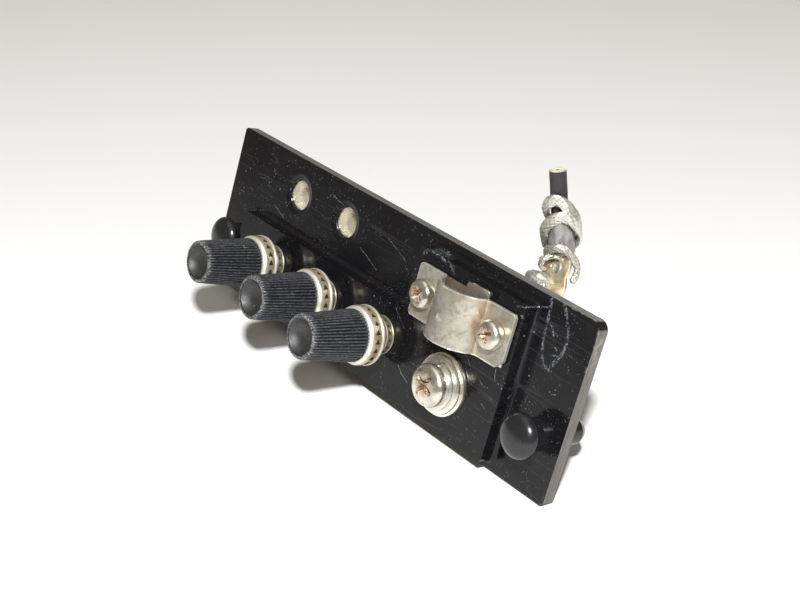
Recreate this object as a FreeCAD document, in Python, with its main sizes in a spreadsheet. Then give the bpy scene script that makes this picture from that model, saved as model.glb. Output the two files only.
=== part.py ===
import FreeCAD, Part
import os
import math
import Sketcher

# Receiver aerial terminal panel: a moulded board with three screw-down binding
# posts, two pin jacks, a coaxial saddle clamp, an earth screw and two push rivets.
# Frame: +X along the board, +Z up the board, -Y out of the front face.
# Origin: centre of the board's flat rear face. Millimetres.

V = FreeCAD.Vector
doc = FreeCAD.newDocument("AerialTerminalPanel")

# ---------------------------------------------------------------- sheet
sheet = doc.addObject("Spreadsheet::Sheet", "Dims")
cells = [
    # board
    ("board_len", 105.0), ("board_high", 33.4), ("board_thick", 2.4),
    ("boss_rise", 3.0), ("corner_big", 2.0), ("corner_small", 0.9),
    ("boss_x_left", -42.5), ("boss_x_right", 39.2), ("boss_z_low", -15.3),
    ("boss_z_step", 1.5), ("boss_z_top", 14.3), ("boss_x_step", 10.7),
    ("boss_blend", 0.9), ("rear_deep", 0.4), ("rear_rim", 1.3),
    ("rear_x_left", -41.0), ("rear_x_right", 41.0),
    # binding posts
    ("post_first_x", -28.8), ("post_pitch", 18.0), ("post_z", -5.1),
    ("stud_rad", 2.0), ("thread_gap", 0.05), ("stud_tip", 14.5),
    ("stud_rear", 6.6), ("wire_hole_rad", 0.9), ("wire_hole_n", 6.9),
    ("collar_rad", 3.7), ("collar_high", 2.0),
    ("washer_rad", 4.3), ("washer_thick", 0.5), ("press_gap", 0.02),
    ("post_open_1", 0.7), ("post_open_2", 0.0), ("post_open_3", 1.4),
    ("skirt_rad", 5.65), ("skirt_high", 3.3), ("skirt_bead", 0.25),
    ("core_rad", 3.0), ("core_high", 6.0),
    ("cap_base_rad", 4.95), ("cap_tip_rad", 4.15), ("cap_high", 12.1),
    ("cap_dish_rad", 3.3), ("cap_dish_deep", 0.9), ("cap_round", 0.45),
    # rear hardware of the posts
    ("lug_ring_rad", 3.6), ("lug_thick", 0.5), ("lug_wide", 3.0),
    ("lug_drop", 7.0), ("lug_back", 6.0), ("lug_eye", 0.8),
    ("lock_rad", 3.8), ("lock_thick", 0.7),
    ("nut4_flat", 7.0), ("nut4_thick", 3.2),
    ("nut3_flat", 5.5), ("nut3_thick", 2.4),
    # pin jacks
    ("jack_first_x", -30.0), ("jack_pitch", 15.8), ("jack_z", 9.3),
    ("jack_hole_rad", 3.1), ("jack_sink_rad", 4.4), ("jack_sink_deep", 0.3),
    ("socket_rad", 2.1), ("socket_wall", 0.45), ("socket_len", 11.0),
    ("socket_plate_len", 11.6), ("socket_plate_high", 7.6), ("socket_plate_thick", 0.5),
    ("funnel_rad", 3.05), ("funnel_mouth", 2.75), ("funnel_out", 1.8), ("funnel_back", 1.5),
    ("socket_slot", 0.6), ("peg_rad", 0.8), ("peg_head_rad", 1.3), ("peg_offset", 4.4),
    # saddle clamp
    ("clamp_x", 25.75), ("clamp_z_low", 1.9), ("clamp_wide", 10.1),
    ("clamp_half", 12.6), ("strap_thick", 0.6), ("contact_thick", 0.4),
    ("arch_rad", 5.8), ("arch_rise", 0.2), ("clamp_screw_x", 25.45), ("clamp_screw_off", 9.1),
    ("strap_blend", 0.25),
    ("clamp_screw_z", 6.95), ("screw3_rad", 1.5), ("screw3_head_rad", 2.75),
    ("screw3_head_high", 2.3), ("tongue_len", 1.4), ("tongue_wide", 5.8),
    ("dimple_rad", 0.9),
    # earth screw
    ("earth_x", 25.95), ("earth_z", -6.45), ("earth_head_rad", 3.95),
    ("earth_head_high", 2.6), ("earth_flat_rad", 5.8), ("earth_flat_thick", 0.9),
    ("earth_cup_rad", 5.4), ("earth_cup_thick", 0.8),
    ("earth_spring_rad", 4.6), ("earth_spring_thick", 0.9),
    # push rivets
    ("rivet_left_x", -46.9), ("rivet_right_x", 46.6), ("rivet_z", -6.1),
    ("rivet_barrel_rad", 2.5), ("rivet_neck_rad", 2.7), ("rivet_flange_rad", 2.95), ("rivet_flange_high", 1.1),
    ("rivet_barrel_len", 8.0), ("rivet_bore_rad", 1.3), ("pin_rad", 1.25),
    ("dome_rad", 4.1), ("dome_high", 2.6), ("dome_base_left", 2.7), ("dome_base_right", 3.6),
    # aerial lead stub behind the clamp
    ("stub_rad", 1.55), ("core_wire_rad", 0.9), ("sleeve_rad", 2.3), ("sleeve_len", 7.0),
    ("tail_lug_thick", 0.8),
]
for row, (alias, value) in enumerate(cells, start=1):
    sheet.set("A%d" % row, alias)
    sheet.set("B%d" % row, "%g" % value)
    sheet.setAlias("B%d" % row, alias)
doc.recompute()
D = {alias: float(sheet.get(alias)) for alias, _ in cells}

FRONT = FreeCAD.Rotation(V(1, 0, 0), 90)   # local (x, y, z) -> (X, Z, -Y)
nodes = {}
counter = [0]


def ex(text):
    # sheet aliases are written as @alias
    return text.replace("@", "Dims.")


def bind(obj, prop, text):
    obj.setExpression(prop, ex(str(text)))


def place(obj, x, out, z, rot=FRONT):
    # x, out and z are expressions: out is the height in front of the rear face
    obj.Placement = FreeCAD.Placement(V(0, 0, 0), rot)
    bind(obj, "Placement.Base.x", x)
    bind(obj, "Placement.Base.y", "-(%s)" % out)
    bind(obj, "Placement.Base.z", z)
    return obj


def uname(kind):
    counter[0] += 1
    return "%s%03d" % (kind, counter[0])


def box(lx, lz, lout, x, out, z, rot=FRONT):
    o = doc.addObject("Part::Box", uname("Box"))
    bind(o, "Length", lx)
    bind(o, "Width", lz)
    bind(o, "Height", lout)
    return place(o, x, out, z, rot)


def cyl(r, length, x, out, z, rot=FRONT):
    o = doc.addObject("Part::Cylinder", uname("Cyl"))
    bind(o, "Radius", r)
    bind(o, "Height", length)
    return place(o, x, out, z, rot)


def cone(r1, r2, length, x, out, z, rot=FRONT):
    o = doc.addObject("Part::Cone", uname("Cone"))
    bind(o, "Radius1", r1)
    bind(o, "Radius2", r2)
    bind(o, "Height", length)
    return place(o, x, out, z, rot)


def ball(r, x, out, z):
    o = doc.addObject("Part::Sphere", uname("Ball"))
    bind(o, "Radius", r)
    return place(o, x, out, z)


def prism(circ, length, x, out, z, rot=FRONT):
    o = doc.addObject("Part::Prism", uname("Hex"))
    o.Polygon = 6
    bind(o, "Circumradius", circ)
    bind(o, "Height", length)
    return place(o, x, out, z, rot)


def fuse(*shapes):
    o = doc.addObject("Part::MultiFuse", uname("Fuse"))
    o.Shapes = list(shapes)
    return o


def cut(base, *tools):
    tool = tools[0] if len(tools) == 1 else fuse(*tools)
    o = doc.addObject("Part::Cut", uname("Cut"))
    o.Base = base
    o.Tool = tool
    return o


def common(a, b):
    o = doc.addObject("Part::Common", uname("Common"))
    o.Base = a
    o.Tool = b
    return o


def fillet(base, picks):
    # picks: list of (radius alias, test on an edge)
    doc.recompute()
    o = doc.addObject("Part::Fillet", uname("Fillet"))
    o.Base = base
    edges = []
    for i, e in enumerate(base.Shape.Edges, start=1):
        for alias, test in picks:
            if test(e):
                edges.append((i, D[alias], D[alias]))
                break
    if not edges:
        raise RuntimeError("no edge to round on " + base.Name)
    o.Edges = edges
    return o


def node(obj, label):
    obj.Label = label
    nodes[label] = obj
    return obj


def turned(label, profile, x, out, z, extra=None):
    # a turned piece: closed half profile of (radius, height) expressions,
    # revolved about its own axis; the body stands out along -Y
    body = doc.addObject("PartDesign::Body", uname("Body"))
    sk = body.newObject("Sketcher::SketchObject", uname("Sketch"))
    plane = [f for f in body.Origin.OriginFeatures if f.Role == "XZ_Plane"][0]
    sk.AttachmentSupport = [(plane, "")]
    sk.MapMode = "FlatFace"
    pts = []
    for rr, hh in profile:
        pts.append((evaluate(rr), evaluate(hh)))
    n = len(pts)
    for i in range(n):
        a, b = pts[i], pts[(i + 1) % n]
        sk.addGeometry(Part.LineSegment(V(a[0], a[1], 0), V(b[0], b[1], 0)), False)
    for i in range(n):
        sk.addConstraint(Sketcher.Constraint("Coincident", i, 2, (i + 1) % n, 1))
    for i in range(n):
        rr, hh = profile[i]
        if abs(pts[i][0]) < 1e-9:
            sk.addConstraint(Sketcher.Constraint("PointOnObject", i, 1, -2))
        else:
            k = sk.addConstraint(Sketcher.Constraint("DistanceX", -1, 1, i, 1, pts[i][0]))
            sk.renameConstraint(k, "rad%d" % i)
            sk.setExpression("Constraints.rad%d" % i, ex(str(rr)))
        if abs(pts[i][1]) < 1e-9:
            sk.addConstraint(Sketcher.Constraint("PointOnObject", i, 1, -1))
        else:
            k = sk.addConstraint(Sketcher.Constraint("DistanceY", -1, 1, i, 1, pts[i][1]))
            sk.renameConstraint(k, "high%d" % i)
            sk.setExpression("Constraints.high%d" % i, ex(str(hh)))
    rev = body.newObject("PartDesign::Revolution", uname("Rev"))
    rev.Profile = sk
    rev.ReferenceAxis = (sk, ["V_Axis"])
    rev.Angle = 360.0
    body.Tip = rev
    place(body, x, out, z)
    if extra is None:
        return node(body, label)
    return body


def evaluate(text):
    # value of a sheet expression such as "@stud_rad + 0.1", from the sheet's cells
    cell = "D1"
    sheet.set(cell, "=" + str(text).replace("@", ""))
    sheet.recompute()
    val = float(sheet.get(cell))
    return val


def front(extra="0"):
    return "@board_thick + @boss_rise + %s" % extra


# ---------------------------------------------------------------- board
slab = box("@board_len", "@board_high", "@board_thick",
           "-@board_len / 2", "0", "-@board_high / 2")


def upright_at(x, z):
    def test(e):
        b = e.BoundBox
        return (b.YLength > 1.0 and b.XLength < 1e-3 and b.ZLength < 1e-3
                and abs(b.XMin - x) < 0.05 and abs(b.ZMin - z) < 0.05)
    return test


hx, hz = D["board_len"] / 2, D["board_high"] / 2
slab = fillet(slab, [("corner_big", upright_at(hx, hz)),
                     ("corner_small", upright_at(-hx, hz)),
                     ("corner_small", upright_at(hx, -hz)),
                     ("corner_small", upright_at(-hx, -hz))])
low_bar = box("@boss_x_right - @boss_x_left", "@boss_z_step - @boss_z_low",
              "@boss_rise + 0.6", "@boss_x_left", "@board_thick - 0.6", "@boss_z_low")
high_bar = box("@boss_x_right - @boss_x_step", "@boss_z_top - @boss_z_low",
               "@boss_rise + 0.6", "@boss_x_step", "@board_thick - 0.6", "@boss_z_low")
body = fuse(slab, low_bar, high_bar)
refined = doc.addObject("Part::Refine", "BoardRefined")
refined.Source = body


def foot_edge(e):
    # where the raised field's sides meet the flat face, all the way round
    b = e.BoundBox
    y0 = -D["board_thick"]
    return (abs(b.YMin - y0) < 1e-3 and abs(b.YMax - y0) < 1e-3
            and b.XMin > -hx + 1 and b.XMax < hx - 1
            and b.ZMin > -hz + 0.5 and b.ZMax < hz - 0.5)


def boss_corner(e):
    b = e.BoundBox
    return (b.XLength < 1e-3 and b.ZLength < 1e-3
            and abs(b.YLength - D["boss_rise"]) < 0.01)


board = fillet(refined, [("boss_blend", boss_corner), ("boss_blend", foot_edge)])

tools = []
for i in range(3):
    px = "@post_first_x + %d * @post_pitch" % i
    tools.append(cyl("@stud_rad + 0.03", "@board_thick + @boss_rise + 2", px, "-1", "@post_z"))
for i in range(2):
    jx = "@jack_first_x + %d * @jack_pitch" % i
    tools.append(cyl("@jack_hole_rad", "@board_thick + 2", jx, "-1", "@jack_z"))
    tools.append(cone("@jack_hole_rad", "@jack_sink_rad + 0.2", "@jack_sink_deep + 0.1",
                      jx, "@board_thick - @jack_sink_deep", "@jack_z"))
for s in (-1, 1):
    tools.append(cyl("@screw3_rad + @thread_gap", "@board_thick + @boss_rise + 2",
                     "@clamp_screw_x + %d * @clamp_screw_off" % s, "-1", "@clamp_screw_z"))
tools.append(cyl("@stud_rad + @thread_gap", "@board_thick + @boss_rise + 2",
                 "@earth_x", "-1", "@earth_z"))
for side in ("left", "right"):
    tools.append(cyl("@rivet_neck_rad", "@board_thick + 2",
                     "@rivet_%s_x" % side, "-1", "@rivet_z"))
# shallow relief in the rear: the rear hardware seats in it, the rim seats on the chassis
tools.append(box("@rear_x_right - @rear_x_left", "@board_high - 2 * @rear_rim", "@rear_deep + 1",
                 "@rear_x_left", "-1", "-@board_high / 2 + @rear_rim"))
board = cut(board, *tools)
pegs = []
for i in range(2):
    for s in (-1, 1):
        gx = "@jack_first_x + %d * @jack_pitch + %d * @peg_offset" % (i, s)
        pegs.append(cyl("@peg_rad", "@socket_plate_thick + 0.5 + 0.3", gx,
                        "@rear_deep - @socket_plate_thick - 0.5", "@jack_z"))
        pegs.append(cyl("@peg_head_rad", "0.5", gx,
                        "@rear_deep - @socket_plate_thick - 0.5", "@jack_z"))
board = fuse(board, *pegs)
node(board, "terminal_board")

# ---------------------------------------------------------------- binding posts
for i in range(3):
    tag = "post_%d_" % (i + 1)
    px = "@post_first_x + %d * @post_pitch" % i
    pz = "@post_z"
    # stud: threaded rod through the board, with a cross hole for the wire
    rod = cyl("@stud_rad", "@stud_rear + @board_thick + @boss_rise + @stud_tip",
              px, "-@stud_rear", pz)
    tip = cone("@stud_rad + 0.5", "@stud_rad - 0.1", "0.6", px, front("@stud_tip - 0.6"), pz)
    tip_block = cyl("@stud_rad + 1", "0.7", px, front("@stud_tip - 0.6"), pz)
    chamfer = cut(tip_block, tip)
    hole = cyl("@wire_hole_rad", "@stud_rad * 2 + 2", px + " - @stud_rad - 1",
               "@board_thick + @wire_hole_n", pz, FreeCAD.Rotation(V(0, 1, 0), 90))
    node(cut(rod, chamfer, hole), tag + "stud")
    # fixed base collar pressed on the stud, seated on the raised field
    col = cyl("@collar_rad", "@collar_high", px, front(), pz)
    node(cut(col, cyl("@stud_rad + @press_gap", "@collar_high + 2", px, front("-1"), pz)),
         tag + "base_collar")
    # loose pressure washer that the cap pushes down on the wire
    n1 = front("@collar_high") + " + @post_open_%d" % (i + 1)
    was = cyl("@washer_rad", "@washer_thick", px, n1, pz)
    node(cut(was, cyl("@stud_rad + @thread_gap", "@washer_thick + 2", px, n1 + " - 1", pz)),
         tag + "pressure_washer")
    # nickelled insert: a skirt under the cap and a tapped core inside it
    turned(tag + "skirt_insert", [
        ("@stud_rad + @thread_gap", "0"),
        ("@skirt_rad - 0.3", "0"),
        ("@skirt_rad", "@skirt_bead"),
        ("@skirt_rad", "@skirt_bead * 2"),
        ("@skirt_rad - 0.2", "@skirt_bead * 3"),
        ("@skirt_rad - 0.12", "@skirt_high - 1.2"),
        ("@skirt_rad - 0.3", "@skirt_high - 0.6"),
        ("@cap_base_rad + 0.05", "@skirt_high - 0.12"),
        ("@cap_base_rad - 0.1", "@skirt_high"),
        ("@core_rad", "@skirt_high"),
        ("@core_rad", "@skirt_high + @core_high"),
        ("@stud_rad + @thread_gap", "@skirt_high + @core_high"),
    ], px, n1 + " + @washer_thick", pz)
    # moulded cap, tapered, with a dished tip, hollow for the stud
    turned(tag + "cap", [
        ("@core_rad", "0"),
        ("@cap_base_rad", "0"),
        ("@cap_base_rad", "0.6"),
        ("@cap_tip_rad", "@cap_high - @cap_round"),
        ("@cap_tip_rad - @cap_round * 0.3", "@cap_high - @cap_round * 0.3"),
        ("@cap_tip_rad - @cap_round", "@cap_high"),
        ("@cap_dish_rad", "@cap_high"),
        ("@cap_dish_rad * 0.8", "@cap_high - @cap_dish_deep * 0.6"),
        ("@cap_dish_rad * 0.4", "@cap_high - @cap_dish_deep * 0.93"),
        ("0", "@cap_high - @cap_dish_deep"),
        ("0", "@stud_tip - @skirt_high - @washer_thick - @collar_high + 0.8"),
        ("@core_rad - 0.5", "@stud_tip - @skirt_high - @washer_thick - @collar_high + 0.8"),
        ("@core_rad - 0.5", "@core_high"),
        ("@core_rad", "@core_high"),
    ], px, n1 + " + @washer_thick + @skirt_high", pz)
    # rear: solder lug, lock washer and hex nut
    seat = "@rear_deep - @lug_thick"
    ring = cyl("@lug_ring_rad", "@lug_thick", px, seat, pz)
    strip = box("@lug_wide", "@lug_drop", "@lug_thick", px + " - @lug_wide / 2",
                seat, pz + " - @lug_drop")
    back = box("@lug_wide", "@lug_thick", "@lug_back + @rear_deep", px + " - @lug_wide / 2",
               "-@lug_back", pz + " - @lug_drop")
    eye = cyl("@lug_eye", "@lug_thick + 2", px, "-@lug_back + 1.7",
              pz + " - @lug_drop - 1", FreeCAD.Rotation())
    node(cut(fuse(ring, strip, back), cyl("@stud_rad + @press_gap", "@lug_thick + 2", px, seat + " - 1", pz), eye),
         tag + "solder_lug")
    lock = cyl("@lock_rad", "@lock_thick", px, seat + " - @lock_thick", pz)
    gap = box("0.6", "@lock_rad + 1", "@lock_thick + 1", px + " - 0.3",
              seat + " - @lock_thick - 0.5", pz)
    node(cut(lock, cyl("@stud_rad + @press_gap", "@lock_thick + 2", px,
                       seat + " - @lock_thick - 1", pz), gap),
         tag + "lock_washer")
    nut_back = seat + " - @lock_thick - @nut4_thick"
    hexn = prism("@nut4_flat / 2 / cos(30)", "@nut4_thick", px, nut_back, pz)
    node(cut(hexn, cyl("@stud_rad + @press_gap", "@nut4_thick + 2", px, nut_back + " - 1", pz)),
         tag + "rear_nut")

# ---------------------------------------------------------------- pin jacks
for i in range(2):
    jx = "@jack_first_x + %d * @jack_pitch" % i
    jz = "@jack_z"
    # sheet plate staked in the relief, a funnel lining the hole, a split tube behind
    plate = box("@socket_plate_len", "@socket_plate_high", "@socket_plate_thick",
                jx + " - @socket_plate_len / 2", "@rear_deep - @socket_plate_thick",
                jz + " - @socket_plate_high / 2")
    funnel = cyl("@funnel_rad", "@funnel_out + @funnel_back", jx, "-@funnel_back", jz)
    tube = cyl("@socket_rad + @socket_wall", "@socket_len", jx, "-@socket_len", jz)
    tag_strip = box("2.6", "0.5", "5 + @rear_deep", jx + " - 1.3", "-5",
                    jz + " + @socket_plate_high / 2 - 0.5")
    solid = fuse(plate, funnel, tube, tag_strip)
    bore = cyl("@socket_rad", "@socket_len + 4", jx, "-@socket_len - 1", jz)
    flare = cone("@socket_rad", "@funnel_mouth", "@funnel_out + @funnel_back",
                 jx, "-@funnel_back", jz)
    slot = box("@socket_slot", "@socket_rad * 2 + 3", "@socket_len - 3",
               jx + " - @socket_slot / 2", "-@socket_len - 0.5", jz + " - @socket_rad - 1.5")
    pins = [cyl("@peg_rad", "@socket_plate_thick + 2", jx + " + %d * @peg_offset" % s,
                "-@socket_plate_thick - 1", jz) for s in (-1, 1)]
    node(cut(solid, bore, flare, slot, *pins), "jack_%d_socket" % (i + 1))

# ---------------------------------------------------------------- saddle clamp
CX, CZ, CW = "@clamp_x", "@clamp_z_low", "@clamp_wide"
base = front()
# lower contact plate with a short tongue past its upper edge
low = box("@clamp_half * 2 - 1.2", CW + " - 0.5", "@contact_thick",
          CX + " - @clamp_half + 0.6", base, CZ + " + 0.25")
tongue = box("@tongue_wide", "@tongue_len + 1", "@contact_thick", CX + " - 0.9",
             base, CZ + " + @clamp_wide - 0.25 - 1")
holes = [cyl("@screw3_rad + @thread_gap", "4", "@clamp_screw_x + %d * @clamp_screw_off" % s,
             front("-1"), "@clamp_screw_z") for s in (-1, 1)]
node(cut(fuse(low, tongue), *holes), "clamp_contact_plate")
# saddle strap: two feet and a half-round arch over the cable way
foot_n = front("@contact_thick")
feet = box("@clamp_half * 2", CW, "@strap_thick", CX + " - @clamp_half", foot_n, CZ)
UP = FreeCAD.Rotation()
arch_out = "@board_thick + @boss_rise + @arch_rise"
outer = cyl("@arch_rad", CW, CX, arch_out, CZ, UP)
inner = cyl("@arch_rad - @strap_thick", CW + " + 2", CX, arch_out, CZ + " - 1", UP)
below = box("@clamp_half * 2 + 4", CW + " + 4", "12", CX + " - @clamp_half - 2",
            front("@contact_thick - 12"), CZ + " - 2")
strap = cut(fuse(feet, outer), inner, below)
srefined = doc.addObject("Part::Refine", "StrapRefined")
srefined.Source = strap


def strap_bend(e):
    # upper inner corner where each foot turns into the arch
    b = e.BoundBox
    y0 = -(D["board_thick"] + D["boss_rise"] + D["contact_thick"] + D["strap_thick"])
    return (b.ZLength > 8 and b.XLength < 1e-3 and abs(b.YMin - y0) < 1e-3
            and abs(b.YMax - y0) < 1e-3 and abs(b.XMin - D["clamp_x"]) < D["arch_rad"] + 0.3)


strap = fillet(srefined, [("strap_blend", strap_bend)])
holes = [cyl("@screw3_rad + @thread_gap", "4", "@clamp_screw_x + %d * @clamp_screw_off" % s,
             front("-1"), "@clamp_screw_z") for s in (-1, 1)]
node(cut(strap, *holes), "clamp_saddle")


def pan_screw(label, x, z, out_head, r_head, h_head, r_rod, rod_len, cross):
    # pan head with a domed edge and a cross recess, plain cylinder for the thread
    b = turned(label + "_blank", [
        ("0", "0"),
        (r_rod + " - 0.3", "0"),
        (r_rod, "0.3"),
        (r_rod, rod_len),
        (r_head, rod_len),
        (r_head, "%s + %s * 0.54" % (rod_len, h_head)),
        ("%s * 0.93" % r_head, "%s + %s * 0.74" % (rod_len, h_head)),
        ("%s * 0.76" % r_head, "%s + %s * 0.89" % (rod_len, h_head)),
        ("%s * 0.45" % r_head, "%s + %s * 0.975" % (rod_len, h_head)),
        ("0", "%s + %s" % (rod_len, h_head)),
    ], x, "%s - (%s)" % (out_head, rod_len), z, extra=True)
    c1 = box(cross, "@strap_thick * 1.3", "2", "%s - (%s) / 2" % (x, cross),
             "%s + %s - 1.25" % (out_head, h_head), "%s - @strap_thick * 0.65" % z)
    c2 = box("@strap_thick * 1.3", cross, "2", "%s - @strap_thick * 0.65" % x,
             "%s + %s - 1.25" % (out_head, h_head), "%s - (%s) / 2" % (z, cross))
    return node(cut(b, c1, c2), label)


for s, side in ((-1, "left"), (1, "right")):
    sx = "@clamp_screw_x + %d * @clamp_screw_off" % s
    head = front("@contact_thick + @strap_thick")
    pan_screw("clamp_screw_" + side, sx, "@clamp_screw_z", head,
              "@screw3_head_rad", "@screw3_head_high", "@screw3_rad",
              "@board_thick + @boss_rise + @contact_thick + @strap_thick + 4.4",
              "@screw3_head_rad * 1.15")
    lift = "0.5" if s < 0 else "@tail_lug_thick"
    nb = "@rear_deep - (%s) - @nut3_thick" % lift
    hexn = prism("@nut3_flat / 2 / cos(30)", "@nut3_thick", sx, nb, "@clamp_screw_z")
    node(cut(hexn, cyl("@screw3_rad + @thread_gap", "@nut3_thick + 2", sx, nb + " - 1",
                       "@clamp_screw_z")), "clamp_nut_" + side)
wl = cyl("@screw3_head_rad + 0.75", "0.5", "@clamp_screw_x - @clamp_screw_off",
         "@rear_deep - 0.5", "@clamp_screw_z")
node(cut(wl, cyl("@screw3_rad + @thread_gap", "2.5", "@clamp_screw_x - @clamp_screw_off", "-1.5",
                 "@clamp_screw_z")), "clamp_rear_washer")

# ---------------------------------------------------------------- earth screw
EX, EZ = "@earth_x", "@earth_z"
w1 = cyl("@earth_flat_rad", "@earth_flat_thick", EX, front(), EZ)
node(cut(w1, cyl("@stud_rad + @thread_gap", "4", EX, front("-1"), EZ)), "earth_flat_washer")
w2 = cyl("@earth_cup_rad", "@earth_cup_thick", EX, front("@earth_flat_thick"), EZ)
node(cut(w2, cyl("@stud_rad + @thread_gap", "4", EX, front("-1"), EZ)), "earth_clamp_washer")
# split spring washer, its gap turned to the upper left
STACK = "@earth_flat_thick + @earth_cup_thick"
w3 = cyl("@earth_spring_rad", "@earth_spring_thick", EX, front(STACK), EZ)
gap = box("0.45", "@earth_spring_rad + 1", "@earth_spring_thick + 1", EX + " - 0.22",
          front(STACK + " - 0.5"), EZ)
node(cut(w3, cyl("@stud_rad + @thread_gap", "6", EX, front("-1"), EZ), gap), "earth_spring_washer")
STACK = STACK + " + @earth_spring_thick"
pan_screw("earth_screw", EX, EZ, front(STACK),
          "@earth_head_rad", "@earth_head_high", "@stud_rad",
          "@board_thick + @boss_rise + " + STACK + " + 5.4",
          "@earth_head_rad * 1.2")
seat = "@rear_deep - @lug_thick"
ring = cyl("@lug_ring_rad + 0.2", "@lug_thick", EX, seat, EZ)
strip = box("@lug_wide", "@lug_drop", "@lug_thick", EX + " - @lug_wide / 2", seat,
            EZ + " - @lug_drop")
back = box("@lug_wide", "@lug_thick", "@lug_back + @rear_deep", EX + " - @lug_wide / 2",
           "-@lug_back", EZ + " - @lug_drop")
eye = cyl("@lug_eye", "@lug_thick + 2", EX, "-@lug_back + 1.7", EZ + " - @lug_drop - 1",
          FreeCAD.Rotation())
node(cut(fuse(ring, strip, back), cyl("@stud_rad + @thread_gap", "3", EX, "-1.5", EZ), eye),
     "earth_solder_lug")
hexn = prism("@nut4_flat / 2 / cos(30)", "@nut4_thick", EX, seat + " - @nut4_thick", EZ)
node(cut(hexn, cyl("@stud_rad + @thread_gap", "@nut4_thick + 2", EX,
                   seat + " - @nut4_thick - 1", EZ)), "earth_nut")

# ---------------------------------------------------------------- push rivets
for side in ("left", "right"):
    rx, rz = "@rivet_%s_x" % side, "@rivet_z"
    flange = cyl("@rivet_flange_rad", "@rivet_flange_high", rx, "@board_thick", rz)
    neck = cyl("@rivet_neck_rad", "@board_thick + 0.5", rx, "0", rz)
    barrel = cyl("@rivet_barrel_rad", "@rivet_barrel_len - 1", rx,
                 "-@rivet_barrel_len + 1.2", rz)
    nose = cone("@rivet_barrel_rad - 0.6", "@rivet_barrel_rad", "1.2", rx,
                "-@rivet_barrel_len", rz)
    hollow = cyl("@rivet_bore_rad", "@board_thick + @rivet_barrel_len + 4", rx,
                 "-@rivet_barrel_len - 1", rz)
    slit = box("0.6", "@rivet_barrel_rad * 2 + 2", "@rivet_barrel_len - 1", rx + " - 0.3",
               "-@rivet_barrel_len - 0.5", rz + " - @rivet_barrel_rad - 1")
    node(cut(fuse(flange, neck, barrel, nose), hollow, slit), "rivet_%s_grommet" % side)
    top = "@board_thick + @dome_base_%s + 5" % side
    turned("rivet_%s_plunger" % side, [
        ("0", "0"),
        ("@pin_rad - 0.4", "0"),
        ("@pin_rad", "0.6"),
        ("@pin_rad", top),
        ("@dome_rad - 0.25", top),
        ("@dome_rad", top + " + 0.35"),
        ("@dome_rad * 0.975", top + " + @dome_high * 0.32"),
        ("@dome_rad * 0.88", top + " + @dome_high * 0.58"),
        ("@dome_rad * 0.68", top + " + @dome_high * 0.8"),
        ("@dome_rad * 0.38", top + " + @dome_high * 0.95"),
        ("0", top + " + @dome_high"),
    ], rx, "-5", rz)

# ---------------------------------------------------------------- aerial lead stub
# Everything here stays behind the board and above its top edge.
# solder lug on the rear of the right clamp screw, cranked back and up
lx, lz = D["clamp_screw_x"] + D["clamp_screw_off"], D["clamp_screw_z"]
t = D["tail_lug_thick"]


def yz_strip(path, thick, half_w, x, x_end=None):
    # a bent flat strip: the path is its centre line in (Y, Z)
    fuses = None
    for (y0, z0), (y1, z1) in zip(path[:-1], path[1:]):
        d = V(0, y1 - y0, z1 - z0)
        length = d.Length
        d.normalize()
        nrm = V(0, -d.z, d.y)
        a = V(x - half_w, y0, z0) - nrm * (thick / 2)
        rect = Part.makePolygon([a, a + V(2 * half_w, 0, 0), a + V(2 * half_w, 0, 0) + nrm * thick,
                                 a + nrm * thick, a])
        seg = Part.Face(rect).extrude(d * length)
        joint = Part.makeCylinder(thick / 2, 2 * half_w, V(x - half_w, y1, z1), V(1, 0, 0))
        seg = seg.fuse(joint)
        fuses = seg if fuses is None else fuses.fuse(seg)
    return fuses.removeSplitter()


# coaxial stub: its line runs from the splice up to the cut end
stub_low = V(31.05, 9.2, 19.75)
stub_high = V(28.0, 4.6, 35.25)
axis = stub_high - stub_low
total = axis.Length
axis.normalize()
rot = FreeCAD.Rotation(V(0, 0, 1), axis)
sleeve_at = 1.0
jacket_at = 6.0
blob_mid = V(30.4, 5.9, 14.6)


def along(dist):
    return stub_low + axis * dist


def rod_between(a, b, r):
    return Part.makeCylinder(r, (b - a).Length, a, b - a)


y0 = -D["rear_deep"]
lug_ring = Part.makeCylinder(3.6, t, V(lx, y0, lz), V(0, 1, 0))
strip = yz_strip([(y0 + t / 2, lz), (y0 + t / 2, lz + 2.85), (7.6, 15.13), (8.8, 18.07)], t, 1.5, lx)
pad_mid = V(32.6, 8.9, 18.3)
pad_dir = V(0, 2.94, -1.2)
pad_dir.normalize()
pad = Part.makeCylinder(2.5, t, pad_mid - pad_dir * (t / 2), pad_dir)
eye_cut = Part.makeCylinder(1.2, 8, pad_mid - pad_dir * 4, pad_dir)
screw_cut = Part.makeCylinder(D["screw3_rad"] + D["thread_gap"], 4, V(lx, -1, lz), V(0, 1, 0))
stub_room = Part.makeCylinder(D["sleeve_rad"] + 0.05, 9, along(sleeve_at), axis)
core_room = Part.makeCylinder(D["core_wire_rad"] + 0.02, 3, along(-0.6), axis)
wire_room = rod_between(stub_low, blob_mid, 0.47)
lug_shape = lug_ring.fuse([strip, pad]).cut(eye_cut).cut(screw_cut)
lug_shape = lug_shape.cut(stub_room).cut(core_room).cut(wire_room).removeSplitter()
f = doc.addObject("Part::Feature", "PigtailLug")
f.Shape = lug_shape
f.Placement = FreeCAD.Placement()
node(f, "pigtail_lug")


def stub_piece(cls, r, length, dist):
    o = doc.addObject(cls, uname("Stub"))
    bind(o, "Radius", r)
    bind(o, "Height", length)
    o.Placement = FreeCAD.Placement(along(dist), rot)
    return o


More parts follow.
